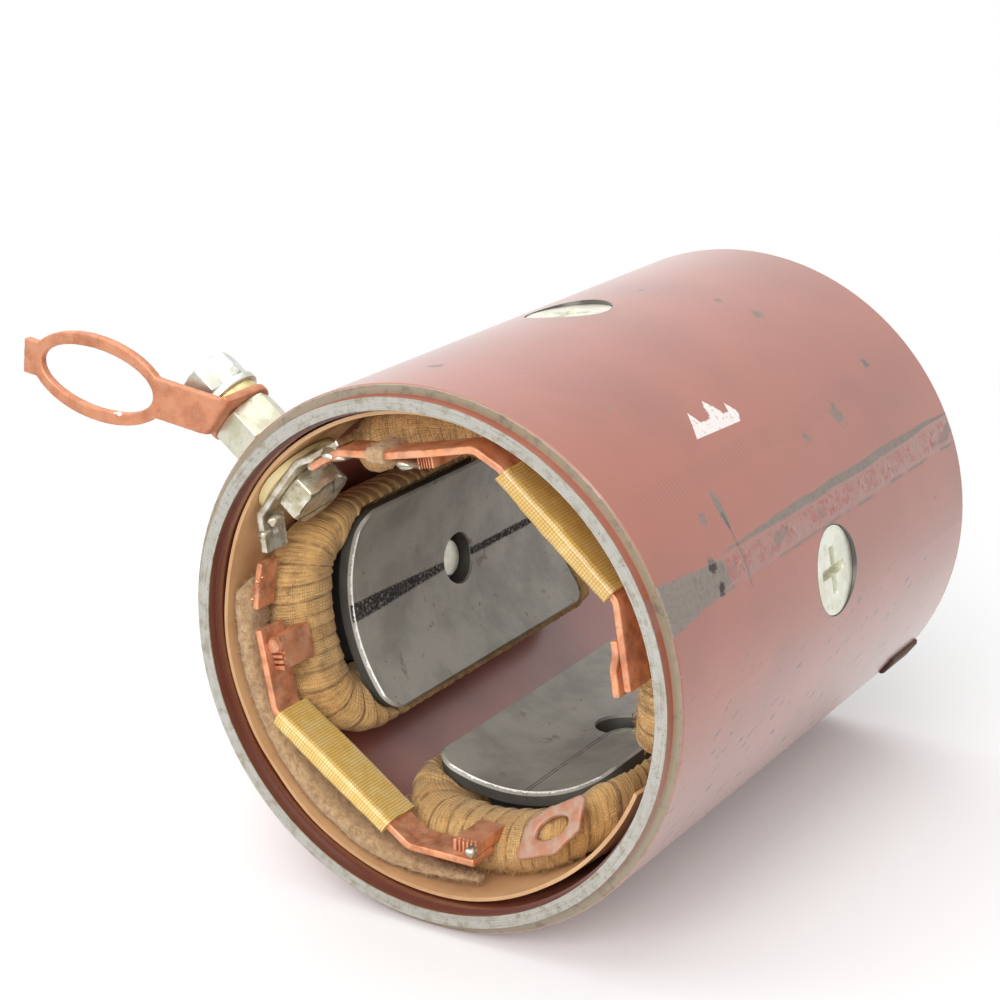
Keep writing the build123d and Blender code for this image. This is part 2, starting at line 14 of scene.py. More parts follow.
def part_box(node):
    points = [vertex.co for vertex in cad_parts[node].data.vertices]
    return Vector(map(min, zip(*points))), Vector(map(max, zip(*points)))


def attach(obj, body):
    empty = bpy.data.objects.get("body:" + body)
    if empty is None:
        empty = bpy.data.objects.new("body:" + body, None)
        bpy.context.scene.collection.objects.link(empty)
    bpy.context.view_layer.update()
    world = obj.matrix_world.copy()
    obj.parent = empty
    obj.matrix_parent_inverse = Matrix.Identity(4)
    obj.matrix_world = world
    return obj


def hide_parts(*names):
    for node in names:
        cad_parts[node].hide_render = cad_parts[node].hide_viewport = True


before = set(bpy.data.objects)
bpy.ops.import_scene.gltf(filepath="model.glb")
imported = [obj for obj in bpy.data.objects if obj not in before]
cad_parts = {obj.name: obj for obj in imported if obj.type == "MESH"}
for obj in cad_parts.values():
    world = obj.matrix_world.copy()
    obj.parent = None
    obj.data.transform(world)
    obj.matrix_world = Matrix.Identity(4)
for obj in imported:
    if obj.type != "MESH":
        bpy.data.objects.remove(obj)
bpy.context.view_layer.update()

LOG = logging.getLogger("field_frame")

# Sizes below are in millimetres; a mesh is scaled to metres when it is finished.
MM = 0.001
METRE = 1000.0
YOKE_LOW, YOKE_HIGH = (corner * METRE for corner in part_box("yoke"))
YOKE_R = YOKE_HIGH.x
YOKE_LENGTH = YOKE_HIGH.y
MID_Y = YOKE_LENGTH / 2
COIL_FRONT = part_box("left_field_coil")[0].y * METRE
BODY = "root"
WHITE = (1.0, 1.0, 1.0)

Colour = Sequence[float]
Pair = tuple[float, float]
Spot = tuple[float, float, float]
Socket = bpy.types.NodeSocket
Place = Callable[[float, float], Vector]
Mark = Callable[[float, float], Pair]


class Side(Enum):
    """A pole's place round the tube, with its angle in degrees from +X towards +Z."""

    RIGHT = 9.0
    TOP = 99.0
    LEFT = 189.0
    BOTTOM = 279.0

    @property
    def word(self) -> str:
        """The side's name as the CAD nodes spell it."""
        return self.name.lower()

    @property
    def signed(self) -> float:
        """The angle between -180 and 180 degrees, as the shaders measure it."""
        return (self.value + 180.0) % 360.0 - 180.0


def srgb(red: int, green: int, blue: int) -> Spot:
    """Turn a screen colour into the linear one that shaders use.

    Args:
        red: Red from 0 to 255.
        green: Green from 0 to 255.
        blue: Blue from 0 to 255.

    Returns:
        The linear colour.
    """
    shares = (channel / 255 for channel in (red, green, blue))
    return tuple(s / 12.92 if s <= 0.04045 else ((s + 0.055) / 1.055) ** 2.4 for s in shares)


def polar(radius: float, angle: float, along: float) -> Vector:
    """Point at a radius, an angle in degrees and a distance behind the front rim."""
    turn = math.radians(angle)
    return Vector((radius * math.cos(turn), along, radius * math.sin(turn)))


def ease(low: float, high: float, value: float) -> float:
    """Smooth step from 0 at low to 1 at high."""
    share = min(max((value - low) / (high - low), 0.0), 1.0)
    return share * share * (3 - 2 * share)


def signed_power(value: float, power: float) -> float:
    """Raise a number's size to a power and keep its sign."""
    return math.copysign(abs(value) ** power, value)


def racetrack(share: float, half_wide: float, half_tall: float, corner: float) -> tuple[Vector, Vector]:
    """Go round a rectangle with round corners, by length.

    Args:
        share: Share of the way round.
        half_wide: Half of its width.
        half_tall: Half of its height.
        corner: Its corners' radius.

    Returns:
        The point and the outward direction there.
    """
    wide, tall, arc = 2 * (half_wide - corner), 2 * (half_tall - corner), corner * math.pi / 2
    left = share * 2 * (wide + tall + 2 * arc)
    point = Vector((-wide / 2, -half_tall))
    heading = 0.0
    for length, bends in ((wide, False), (arc, True), (tall, False), (arc, True)) * 2:
        step = min(left, length)
        ahead = Vector((math.cos(heading), math.sin(heading)))
        if bends:
            turned = step / corner
            inward = Vector((-ahead.y, ahead.x))
            point = point + (ahead * math.sin(turned) + inward * (1 - math.cos(turned))) * corner
            heading += turned
        else:
            point = point + ahead * step
        left -= step
        if left <= 1e-9:
            break
    return point, Vector((math.sin(heading), -math.cos(heading)))


def grain(point: Vector, scale: float, seed: float) -> float:
    """Smooth noise from -1 to 1 at a point, with features about scale across."""
    return noise.noise(point / scale + Vector((seed, seed * 1.7, -seed)))


def operator(operation: str, reflected: bool = False) -> Callable[["Value", "Scalar"], "Value"]:
    """Make the method of a Python operator on values.

    Args:
        operation: The operation of the Math node that it adds.
        reflected: Whether the value stands on the right.

    Returns:
        The method.
    """

    def method(value: "Value", other: "Scalar") -> "Value":
        """Add the Math node."""
        return value.nodes.math(operation, *((other, value) if reflected else (value, other)))

    return method


class Value:
    """A number that varies over a surface, with Python's operators; | takes the greater."""

    def __init__(self, nodes: "Nodes", socket: Socket) -> None:
        """Wrap a socket of a node tree."""
        self.nodes = nodes
        self.socket = socket

    __add__ = __radd__ = operator("ADD")
    __sub__ = operator("SUBTRACT")
    __rsub__ = operator("SUBTRACT", True)
    __mul__ = __rmul__ = operator("MULTIPLY")
    __truediv__ = operator("DIVIDE")
    __rtruediv__ = operator("DIVIDE", True)
    __pow__ = operator("POWER")
    __rpow__ = operator("POWER", True)
    __or__ = __ror__ = operator("MAXIMUM")

    def __abs__(self) -> "Value":
        """Size without sign."""
        return self.nodes.math("ABSOLUTE", self)

    def part(self) -> "Value":
        """Fraction after the whole number."""
        return self.nodes.math("FRACT", self)

    def whole(self) -> "Value":
        """Whole number below."""
        return self.nodes.math("FLOOR", self)

    def above(self, low: float, high: float) -> "Value":
        """Smooth mask that rises from 0 to 1.

        Args:
            low: Where it starts to rise.
            high: Where it reaches 1.

        Returns:
            The mask.
        """
        settings = {"interpolation_type": "SMOOTHSTEP"}
        node = self.nodes.node("MapRange", settings, {"Value": self, "From Min": low, "From Max": high})
        return Value(self.nodes, node.outputs["Result"])

    def below(self, low: float, high: float) -> "Value":
        """Smooth mask that is 1 below low and 0 above high."""
        return 1 - self.above(low, high)

    def near(self, middle: float, half: float, soft: float) -> "Value":
        """Smooth mask that is 1 within half of a middle and fades over soft."""
        return abs(self - middle).below(half, half + soft)


Scalar = Union[Value, float, int]
Owner = Union[bpy.types.Material, bpy.types.World]


def span(*sides: Value) -> Value:
    """Length of a step from its sides."""
    return sum(side * side for side in sides) ** 0.5


class Nodes:
    """The node tree of a material or a world, and the ways to add to it."""

    def __init__(self, owner: Owner, output: str = "OutputMaterial") -> None:
        """Start an empty tree in a material or a world.

        Args:
            owner: The material or world.
            output: The type of its output node.
        """
        self.owner = owner
        owner.use_nodes = True
        self.tree = owner.node_tree
        self.tree.nodes.clear()
        self.out = self.node(output)

    def node(
        self, kind: str, settings: Optional[dict[str, Any]] = None, sockets: Optional[dict[Any, Any]] = None
    ) -> bpy.types.Node:
        """Add a node.

        Args:
            kind: The node's type, without its ShaderNode prefix.
            settings: Its properties, set first.
            sockets: Values or links of its inputs, by name or number.

        Returns:
            The node.
        """
        node = self.tree.nodes.new("ShaderNode" + kind)
        for name, value in (settings or {}).items():
            setattr(node, name, value)
        for name, value in (sockets or {}).items():
            self.put(node.inputs[name], value)
        return node

    def put(self, socket: Socket, value: Any) -> None:
        """Link or set one input.

        Args:
            socket: The input.
            value: A value, an output socket, a number or a colour.
        """
        if isinstance(value, Value):
            self.tree.links.new(value.socket, socket)
        elif isinstance(value, Socket):
            self.tree.links.new(value, socket)
        elif socket.type == "RGBA":
            socket.default_value = (*value, 1.0)
        else:
            socket.default_value = value

    def math(self, operation: str, *operands: Scalar) -> Value:
        """Add a Math node.

        Args:
            operation: Its operation.
            operands: Its inputs in order.

        Returns:
            Its result.
        """
        node = self.node("Math", {"operation": operation}, dict(enumerate(operands)))
        return Value(self, node.outputs[0])

    def millimetres(self) -> Socket:
        """Object coordinates in millimetres."""
        place = self.node("TexCoord").outputs["Object"]
        return self.node("VectorMath", {"operation": "MULTIPLY"}, {0: place, 1: (METRE,) * 3}).outputs[0]

    def laid(self) -> tuple[Value, Value, Value]:
        """The piece's own surface coordinates."""
        return self.axes(self.node("UVMap", {"uv_map": Piece.UV}).outputs[0])

    def axes(self, vector: Socket) -> tuple[Value, Value, Value]:
        """Split a vector into its three numbers."""
        node = self.node("SeparateXYZ", None, {0: vector})
        return tuple(Value(self, node.outputs[index]) for index in range(3))

    def joined(self, first: Scalar, second: Scalar, third: Scalar) -> Socket:
        """Join three numbers into a vector."""
        return self.node("CombineXYZ", None, {0: first, 1: second, 2: third}).outputs[0]

    def cylinder(self) -> tuple[Value, Value, Value]:
        """Radius, angle in degrees and distance behind the front rim."""
        x, y, z = self.axes(self.millimetres())
        return span(x, z), self.math("ARCTAN2", z, x) * math.degrees(1.0), y

    def noise(self, vector: Socket, size: float, detail: float = 3.0, rough: float = 0.55) -> Value:
        """Noise from about 0 to 1.

        Args:
            vector: Where to read it.
            size: How large its features are.
            detail: How many finer layers it has.
            rough: How strong those are.

        Returns:
            The noise.
        """
        sockets = {"Vector": vector, "Scale": 1 / size, "Detail": detail, "Roughness": rough}
        return Value(self, self.node("TexNoise", None, sockets).outputs[0])

    def mix(self, base: Any, top: Any, share: Scalar) -> Socket:
        """Lay one colour over another.

        Args:
            base: The colour below.
            top: The colour above.
            share: How much of it shows.

        Returns:
            The colour.
        """
        return self.node("Mix", {"data_type": "RGBA"}, {0: share, 6: base, 7: top}).outputs[2]

    def bump(self, height: Value, depth: float, strength: float = 1.0) -> Socket:
        """Normal of a surface with fine relief.

        Args:
            height: The relief, from 0 to 1.
            depth: Its depth in millimetres.
            strength: How strongly it shows.

        Returns:
            The normal.
        """
        sockets = {"Height": height, "Distance": depth * MM, "Strength": strength}
        return self.node("Bump", None, sockets).outputs[0]

    def close(self, shader: bpy.types.Node) -> None:
        """End the tree with a shader."""
        self.tree.links.new(shader.outputs[0], self.out.inputs[0])

    def surface(self, sockets: dict[str, Any]) -> None:
        """End the tree with a principled shader."""
        self.close(self.node("BsdfPrincipled", None, sockets))


@dataclass(frozen=True)
class Finish:
    """A surface finish that makes its own material, once."""

    name: str
    slot: str

    def paint(self, nodes: Nodes) -> None:
        """Fill the material's nodes.

        Args:
            nodes: The material's empty tree.
        """
        raise NotImplementedError

    def material(self) -> bpy.types.Material:
        """The finish's material, made at the first call.

        Returns:
            The material.
        """
        made = bpy.data.materials.get(self.name)
        if made is None:
            nodes = Nodes(bpy.data.materials.new(self.name))
            self.paint(nodes)
            made = nodes.owner
        return made


@dataclass(frozen=True)
class OnTube:
    """A shader's place on the tube: in space, on the unrolled skin, and by angle and distance along."""

    nodes: Nodes
    place: Socket
    skin: Socket
    angle: Value
    along: Value

    def away(self, angle: float, along: float) -> Value:
        """Distance in millimetres from a spot, given by its angle and its distance behind the front rim."""
        return span((self.angle - angle) * math.radians(YOKE_R), self.along - along)


@dataclass(frozen=True)
class RedPaint(Finish):
    """Worn red oxide paint on the tube, with bare rims, a weld band, chips and scuffs, and painted light: a
    floor reflection low on the right, shade round the screw seats and a reflected strip on the inner wall.
    """

    red: Colour = srgb(164, 84, 59)
    deep: Colour = srgb(150, 75, 52)
    # Pale tone of the painted floor reflection low on the tube's right.
    dust: Colour = srgb(206, 194, 188)
    inner: Colour = srgb(164, 94, 80)
    primer: Colour = srgb(100, 44, 28)
    band: Colour = srgb(150, 108, 98)
    clot: Colour = srgb(152, 54, 38)
    bare: Colour = srgb(144, 132, 123)
    rim: Colour = srgb(186, 184, 177)
    olive: Colour = srgb(140, 126, 102)
    dark: Colour = srgb(66, 56, 51)
    chalk: Colour = srgb(246, 240, 236)
    skin_r: float = YOKE_R - 0.75
    spigot_r: float = 55.3
    wall_r: float = 53.2
    # Radius of the painted shade round each pole screw's seat.
    shaded_seat_r: float = 9.75
    shoulder: float = 2.3
    # Where the painted reflection lies on the inner wall: just behind the liner's rear edge, at this angle.
    liner_rear: float = 27.2
    reflection_angle: float = -126.5
    seam_angle: float = 22.4
    sheen_angle: float = -60.0
    hatch_angle: float = 41.5
    # Angle, distance behind the front rim and reach of each chip and dark spot.
    chip_spots: tuple[Spot, ...] = (
        (38.0, 96.1, 3.4), (37.3, 79.8, 2.2), (76.1, 101.0, 2.2), (67.9, 103.8, 2.6), (33.5, 27.5, 2.2),
        (96.2, 17.5, 2.6), (62.0, 27.0, 1.7), (71.0, 33.0, 1.6), (55.0, 21.0, 1.5), (80.0, 22.0, 1.4),
    )
    dark_spots: tuple[Spot, ...] = (
        (45.0, 120.8, 1.3), (25.2, 23.4, 1.8), (20.0, 24.0, 1.5), (92.7, 94.2, 1.0),
    )
    # The torn patch: the angle of its foot, its ends, and the middle, height and half width of its peaks.
    patch_foot: float = 47.4
    patch_front: float = 42.3
    patch_rear: float = 61.8
    patch_peaks: tuple[Spot, ...] = ((46.2, 6.6, 3.4), (54.4, 7.8, 4.4), (60.4, 5.4, 2.6))

    def paint(self, nodes: Nodes) -> None:
        """Fill the material's nodes.

        Args:
            nodes: The material's empty tree.
        """
        radius, angle, along = nodes.cylinder()
        place = nodes.millimetres()
        at = OnTube(nodes, place, nodes.joined(angle, along, radius), angle, along)
        outside = radius.above(self.skin_r, self.skin_r + 0.1)
        broad = nodes.noise(place, 30.0, 2.0)
        fine = nodes.noise(place, 1.1, 2.0, 0.7)
        colour = nodes.mix(self.red, self.deep, broad.above(0.35, 0.7))
        colour = nodes.mix(colour, self.dark, fine.above(0.6, 0.8) * 0.14)
        # Painted reflection: low on the right the paint is blended towards a pale tone, standing in for the
        # white floor's sheen on the paint.
        floor_sheen = angle.near(self.sheen_angle, 34.0, 34.0) * (0.2 + fine * 0.14)
        colour = nodes.mix(colour, self.dust, floor_sheen)
        off_seam = abs(angle - self.seam_angle)
        band = off_seam.below(2.6, 3.6)
        clots = nodes.noise(at.skin, 1.3, 4.0, 0.7).above(0.45, 0.56)
        clots = clots * nodes.noise(at.skin, 8.0, 3.0).above(0.42, 0.52)
        colour = nodes.mix(colour, self.band, band * 0.55)
        colour = nodes.mix(colour, self.clot, off_seam.below(1.8, 2.6) * clots)
        bare = (self.chips(at) | self.seam(at)) * outside
        metal = nodes.mix(self.bare, self.dark, nodes.noise(place, 0.9).above(0.45, 0.75) * 0.3)
        colour = nodes.mix(colour, metal, bare)
        colour = nodes.mix(colour, self.dark, self.scuffs(at) * outside * 0.75)
        patch = self.patch(at) * outside
        colour = nodes.mix(colour, self.chalk, patch)
        colour = nodes.mix(colour, self.wall(at, broad), radius.below(self.wall_r, self.wall_r + 0.4))
        # Painted shade: the countersunk seat round each pole screw is darkened, for the shadow in the gap
        # round the screw head.
        for side in Side:
            seat_shade = at.away(side.signed, MID_Y).below(self.shaded_seat_r, self.shaded_seat_r + 0.2)
            colour = nodes.mix(colour, self.dark, seat_shade)
        from_rim = nodes.math("MINIMUM", along, YOKE_LENGTH - along)
        ends = from_rim.below(0.12, 0.3)
        turned = nodes.noise(nodes.joined(radius * 5.0, angle * 0.08, 0.0), 1.0, 3.0, 0.6)
        blots = nodes.noise(place, 2.6, 5.0, 0.65)
        dulled = turned.above(0.45, 0.7) * 0.5 + blots.above(0.46, 0.66) * 0.5
        bright = nodes.mix(self.rim, self.olive, dulled)
        bright = nodes.mix(bright, self.dark, nodes.noise(place, 0.9, 4.0, 0.7).above(0.58, 0.68) * 0.5)
        colour = nodes.mix(colour, bright, ends)
        step = from_rim.near(self.shoulder, 0.12, 0.12) * radius.above(self.spigot_r, self.spigot_r + 0.2)
        dirty = nodes.mix(self.olive, self.dark, blots.above(0.5, 0.72) * 0.5)
        colour = nodes.mix(colour, dirty, step)
        relief = fine * 0.2 + nodes.noise(place, 7.0, 1.0) * 0.5 + clots * band * 1.2
        nodes.surface({
            "Base Color": colour,
            "Roughness": 0.4 + fine * 0.08 + bare * 0.12 + patch * 0.3,
            "Metallic": ends * 0.7 | bare * 0.3,
            "Normal": nodes.bump(relief, 0.09, 0.6),
            "Coat Weight": 1 - (bare | ends),
            "Coat Roughness": 0.2,
            "Coat IOR": 1.62,
        })

    def wall(self, at: OnTube, broad: Value) -> Socket:
        """Colour of the inner wall: thin red, primer near the rim and a painted reflection, a near-white
        strip behind the liner.

        Args:
            at: The place on the tube.
            broad: Noise of the paint's thickness.

        Returns:
            The colour.
        """
        primed = broad.above(0.45, 0.75) * 0.5 | at.along.below(5.0, 7.0)
        # Painted reflection: a near-white strip just behind the liner, between the left and bottom coils,
        # stands in for the white surroundings seen in the glossy paint.
        strip = at.along.near(self.liner_rear, 1.3, 0.15) * at.angle.near(self.reflection_angle, 11.0, 1.0)
        strip = strip * at.nodes.noise(at.place, 1.1, 3.0, 0.7).below(0.6, 0.66)
        return at.nodes.mix(at.nodes.mix(self.inner, self.primer, primed), self.chalk, strip)

    def chips(self, at: OnTube) -> Value:
        """Find the paint that has chipped to bare metal.

        Args:
            at: The place on the tube.

        Returns:
            The mask.
        """
        nodes = at.nodes
        ragged = (nodes.noise(at.place, 2.2, 4.0, 0.65) - 0.5) * 7.0
        small = nodes.noise(at.place, 3.4, 5.0, 0.7).above(0.685, 0.7)
        mask = small * nodes.noise(at.place, 26.0, 2.0).above(0.52, 0.6) * 0.8
        for angle, along, reach in self.chip_spots:
            mask = mask | (at.away(angle, along) + ragged).below(reach - 1.3, reach - 1.0) * 0.9
        lens = ((at.angle - 33.5) / 4.6) ** 2 + ((at.along - 34.8) / 1.2) ** 2 + ragged * 0.1
        return mask | lens.below(0.8, 1.0) | (at.along + ragged * 0.7).below(1.9, 2.4) * 0.8

    def seam(self, at: OnTube) -> Value:
        """Find the bare grey borders and patches along the weld.

        Args:
            at: The place on the tube.

        Returns:
            The mask.
        """
        nodes, along = at.nodes, at.along
        wander = nodes.noise(nodes.joined(0.0, along, 0.0), 17.0, 3.0) - 0.5
        across = at.angle - self.seam_angle - wander * 1.6
        ragged = nodes.noise(at.skin, 1.8, 5.0, 0.7) - 0.5
        broad = along.near(88.0, 22.0, 40.0) * 0.75
        upper = (abs(across - 3.7) + ragged * 0.5 - broad).below(0.12, 0.3) * along.above(26.0, 34.0)
        lower = across.near(-3.3, 0.2, 0.3) * nodes.noise(at.skin, 9.0).above(0.46, 0.54) * 0.8
        core = (abs(across + 0.3) + ragged * 2.0).below(1.5, 2.2)
        core = core * nodes.noise(at.skin, 6.5, 4.0).above(0.58, 0.64)
        wedge = (abs(across) + along * 0.1 + ragged * 1.6).below(5.1, 5.5) * along.below(27.0, 29.0)
        return upper | lower | core * 0.75 | wedge

    def scuffs(self, at: OnTube) -> Value:
        """Find the dark scratches low on the right and the tool marks of the hatched strip.

        Args:
            at: The place on the tube.

        Returns:
            The mask.
        """
        nodes, angle, along = at.nodes, at.angle, at.along
        turned = nodes.joined(angle * 0.55 + along * 0.16, along * 0.5 - angle * 0.9, 0.0)
        streaks = nodes.noise(turned, 2.3, 4.0, 0.65).above(0.6, 0.65)
        low = angle.near(-22.0, 16.0, 18.0) * along.near(66.0, 50.0, 25.0)
        marks = nodes.noise(nodes.joined(angle * 0.05, along * 0.8, 0.0), 1.0, 3.0).above(0.64, 0.72)
        faint = marks * angle.near(-5.0, 30.0, 20.0) * 0.22
        lines = nodes.math("SINE", along * 4.6).above(0.2, 0.7)
        hatch = lines * angle.near(self.hatch_angle, 1.8, 1.4) * along.near(60.0, 45.0, 25.0) * 0.34
        hatch = hatch * nodes.noise(nodes.joined(0.0, along, 0.0), 14.0).above(0.3, 0.6)
        scratch = (along + (angle - 25.0) * 0.07).near(35.1, 0.25, 0.3) * angle.near(25.0, 7.5, 1.0)
        ragged = (nodes.noise(at.place, 1.4, 4.0, 0.7) - 0.5) * 4.0
        mask = streaks * low | faint | hatch | scratch * 0.7
        for spot_angle, spot_along, reach in self.dark_spots:
            mask = mask | (at.away(spot_angle, spot_along) + ragged).below(reach - 0.5, reach) * 1.4
        return mask

    def patch(self, at: OnTube) -> Value:
        """Find the torn chalky patch, with its straight foot and torn top.

        Args:
            at: The place on the tube.

        Returns:
            The mask.
        """
        nodes, along = at.nodes, at.along
        up = at.angle - self.patch_foot + (along - 52.0) * 0.05
        ragged = (nodes.noise(nodes.joined(along, up * 0.35, 0.0), 1.1, 3.0, 0.7) - 0.5) * 0.7
        torn = (up + ragged * 2.0).below(2.7, 3.1)
        for middle, tall, wide in self.patch_peaks:
            torn = torn | (abs(along - middle) / wide + up / tall + ragged).below(0.95, 1.05)
        front = (along - up * 0.7).above(self.patch_front, self.patch_front + 0.3)
        rear = (((1.6 - up) | 0.0) + along).below(self.patch_rear, self.patch_rear + 0.3)
        inside = torn * up.above(-0.1, 0.1) * front * rear
        return inside * nodes.noise(at.skin, 1.0, 4.0, 0.7).above(0.3, 0.46) * 0.94


@dataclass(frozen=True)
class PoleSteel(Finish):
    """Dark ground steel of a pole shoe, with its stripe, rust specks and bright front edge, which is partly a
    painted highlight.
    """

    angle: float = 0.0
    stripe: float = 0.0
    stripe_rear: float = 0.0
    scribe: float = 0.0
    grey: Colour = srgb(184, 181, 172)
    shade: Colour = srgb(142, 139, 131)
    soot: Colour = srgb(36, 34, 32)
    rust: Colour = srgb(112, 80, 66)
    # Colour of the bright chamfer lip: partly worn bare steel, partly a painted highlight.
    edge: Colour = srgb(236, 236, 230)
    bore_r: float = 38.0
    front: float = 30.6
    rear: float = 115.6

    def paint(self, nodes: Nodes) -> None:
        """Fill the material's nodes.

        Args:
            nodes: The material's empty tree.
        """
        place = nodes.millimetres()
        x, y, z = nodes.axes(place)
        turn = math.radians(self.angle)
        across = z * math.cos(turn) - x * math.sin(turn)
        radius = span(x, z)
        brushed = nodes.noise(nodes.joined(across * 0.12, y * 2.4, 0.0), 1.0, 4.0, 0.6)
        cloud = nodes.noise(place, 13.0, 5.0, 0.6)
        grit = nodes.noise(place, 0.7, 3.0, 0.8)
        face = radius.below(self.bore_r + 0.5, self.bore_r + 0.7)
        colour = nodes.mix(self.shade, self.grey, cloud.above(0.32, 0.66) * 0.7 + brushed * 0.3)
        specks = nodes.noise(place, 1.5, 3.0, 0.7).above(0.65, 0.69)
        specks = specks * nodes.noise(place, 17.0).above(0.46, 0.56)
        patches = nodes.noise(place, 5.0, 4.0, 0.7).above(0.61, 0.68)
        patches = patches * nodes.noise(place, 21.0).above(0.46, 0.55)
        rusty = specks * 0.8 | patches * 0.55
        colour = nodes.mix(colour, self.rust, rusty)
        depth = (y - self.front) / (self.rear - self.front)
        half = self.stripe + (self.stripe_rear - self.stripe) * depth.above(0.0, 0.5)
        band = (abs(across) + (grit - 0.5) * 2.2 - half).below(-0.1, 0.1) * face * float(self.stripe > 0)
        colour = nodes.mix(colour, self.soot, band * grit.above(0.32, 0.5))
        scribed = abs(abs(across) - 0.45).below(0.05, 0.2) * face * self.scribe
        colour = nodes.mix(colour, self.soot, scribed * nodes.noise(place, 3.0).above(0.3, 0.5))
        ends = y.below(self.front + 0.75, self.front + 0.85) | y.above(self.rear - 0.85, self.rear - 0.75)
        side = radius.above(self.bore_r + 0.7, self.bore_r + 0.85)
        colour = nodes.mix(colour, self.soot, side * 0.75)
        # Bright lip on the chamfers: partly worn bare steel, partly a painted highlight along the edge.
        worn = nodes.noise(place, 1.3, 4.0, 0.7) + 0.14 - (radius - self.bore_r) * 0.9
        lip_wear_and_glint = ends * (1 - side) * worn.above(0.36, 0.44)
        colour = nodes.mix(colour, self.edge, lip_wear_and_glint)
        nodes.surface({
            "Base Color": colour,
            "Roughness": 0.4 + cloud * 0.2 + band * 0.25,
            "Metallic": 0.4 - band * 0.35 - rusty * 0.3,
            "Normal": nodes.bump(brushed * 0.4 + grit * band * 1.5 + cloud * 0.4, 0.05, 0.6),
        })


@dataclass(frozen=True)
class Plated(Finish):
    """Plated steel with a faint tint, dull films and spots of grime."""

    metal: Colour = srgb(222, 224, 220)
    film: Colour = srgb(198, 199, 184)
    grime: Colour = srgb(96, 90, 76)
    dirt: float = 0.25
    rough: float = 0.28

    def paint(self, nodes: Nodes) -> None:
        """Fill the material's nodes.

        Args:
            nodes: The material's empty tree.
        """
        place = nodes.millimetres()
        cloud = nodes.noise(place, 3.6, 4.0, 0.6)
        fine = nodes.noise(place, 0.6, 3.0, 0.65)
        colour = nodes.mix(self.metal, self.film, cloud.above(0.35, 0.65))
        spots = nodes.noise(place, 1.6, 4.0, 0.7).above(0.54, 0.74) * self.dirt
        colour = nodes.mix(colour, self.grime, spots)
        nodes.surface({
            "Base Color": colour,
            "Roughness": self.rough + fine * 0.14 + spots * 0.3,
            "Metallic": 0.85 - spots * 0.5,
            "Normal": nodes.bump(fine * 0.5 + cloud * 0.6, 0.06, 0.55),
        })


@dataclass(frozen=True)
class Copper(Finish):
    """Bare copper with brown tarnish, a film of dust and, on the link, a dab of white paint."""

    bright: Colour = srgb(240, 164, 120)
    brown: Colour = srgb(164, 96, 62)
    dust: Colour = srgb(208, 178, 156)
    tarnish: float = 0.4
    film: float = 0.15
    rough: float = 0.36
    metal: float = 0.6
    dab: Colour = (0.92, 0.92, 0.9)
    dab_at: Optional[Spot] = None
    dab_reach: float = 1.4

    def paint(self, nodes: Nodes) -> None:
        """Fill the material's nodes.

        Args:
            nodes: The material's empty tree.
        """
        place = nodes.millimetres()
        cloud = nodes.noise(place, 4.0, 4.0, 0.6)
        fine = nodes.noise(place, 0.5, 3.0, 0.65)
        colour = nodes.mix(self.bright, self.brown, cloud.above(0.38, 0.7) * self.tarnish)
        spots = nodes.noise(place, 1.3, 3.0, 0.7).above(0.6, 0.72) * self.tarnish
        colour = nodes.mix(colour, self.brown, spots)
        veil = nodes.noise(place, 2.6, 4.0, 0.65).above(0.36, 0.66) * self.film
        colour = nodes.mix(colour, self.dust, veil)
        if self.dab_at is not None:
            sides = (axis - middle for axis, middle in zip(nodes.axes(place), self.dab_at))
            away = span(*sides) + (nodes.noise(place, 0.9) - 0.5) * 2.0
            dabbed = away.below(self.dab_reach - 0.3, self.dab_reach)
            colour = nodes.mix(colour, self.dab, dabbed)
            veil = veil | dabbed
        nodes.surface({
            "Base Color": colour,
            "Roughness": self.rough + fine * 0.14 + veil * 0.3,
            "Metallic": self.metal - veil * self.metal,
            "Normal": nodes.bump(fine * 0.4 + cloud * 0.9, 0.1, 0.6),
        })


@dataclass(frozen=True)
class CottonTape(Finish):
    """Varnished cotton tape: woven threads, a dark line at each lap and a tint for each turn."""

    pale: Colour = srgb(246, 206, 140)
    ochre: Colour = srgb(222, 168, 94)
    stain: Colour = srgb(104, 64, 30)
    lap_width: float = 3.3
    thread: float = 0.62

    def paint(self, nodes: Nodes) -> None:
        """Fill the material's nodes.

        Args:
            nodes: The material's empty tree.
        """
        place = nodes.millimetres()
        turns, girth, _ = nodes.laid()
        lap = turns.part()
        tint = nodes.noise(nodes.joined(turns.whole() * 3.7, 0.0, 0.0), 1.0, 1.0)
        cloud = nodes.noise(place, 8.0, 4.0, 0.6)
        fuzz = nodes.noise(place, 0.35, 4.0, 0.8)
        colour = nodes.mix(self.ochre, self.pale, tint.above(0.25, 0.7) * 0.6 + cloud * 0.4)
        stains = nodes.noise(place, 5.5, 5.0, 0.65).above(0.5, 0.72)
        streaks = nodes.noise(nodes.joined(turns * 5.0, girth * 0.14, 0.0), 1.0, 4.0, 0.65).above(0.46, 0.72)
        colour = nodes.mix(colour, self.stain, stains * 0.4 + streaks * 0.34)
        seams = lap.above(0.84, 0.97) + lap.below(0.0, 0.06) * 0.7
        gaps = seams * nodes.noise(place, 3.0, 3.0).above(0.32, 0.56)
        loose = nodes.noise(place, 2.0) * 0.7
        warp = abs((turns * (self.lap_width / self.thread) + loose).part() - 0.5)
        weft = abs((girth / self.thread + loose).part() - 0.5)
        weave = (warp | weft).above(0.26, 0.48)
        worn = nodes.noise(place, 4.5, 3.0).above(0.3, 0.6)
        colour = nodes.mix(colour, self.stain, weave * worn * 0.42 + fuzz.above(0.48, 0.72) * 0.22)
        colour = nodes.mix(colour, self.stain, gaps * 0.6)
        nodes.surface({
            "Base Color": colour,
            "Roughness": 0.86 - stains * 0.12,
            "Normal": nodes.bump(fuzz * 0.7 - weave * 0.5 - gaps * 0.8 - streaks * 0.5, 0.3, 0.85),
            "Sheen Weight": 0.2,
            "Sheen Roughness": 0.5,
        })


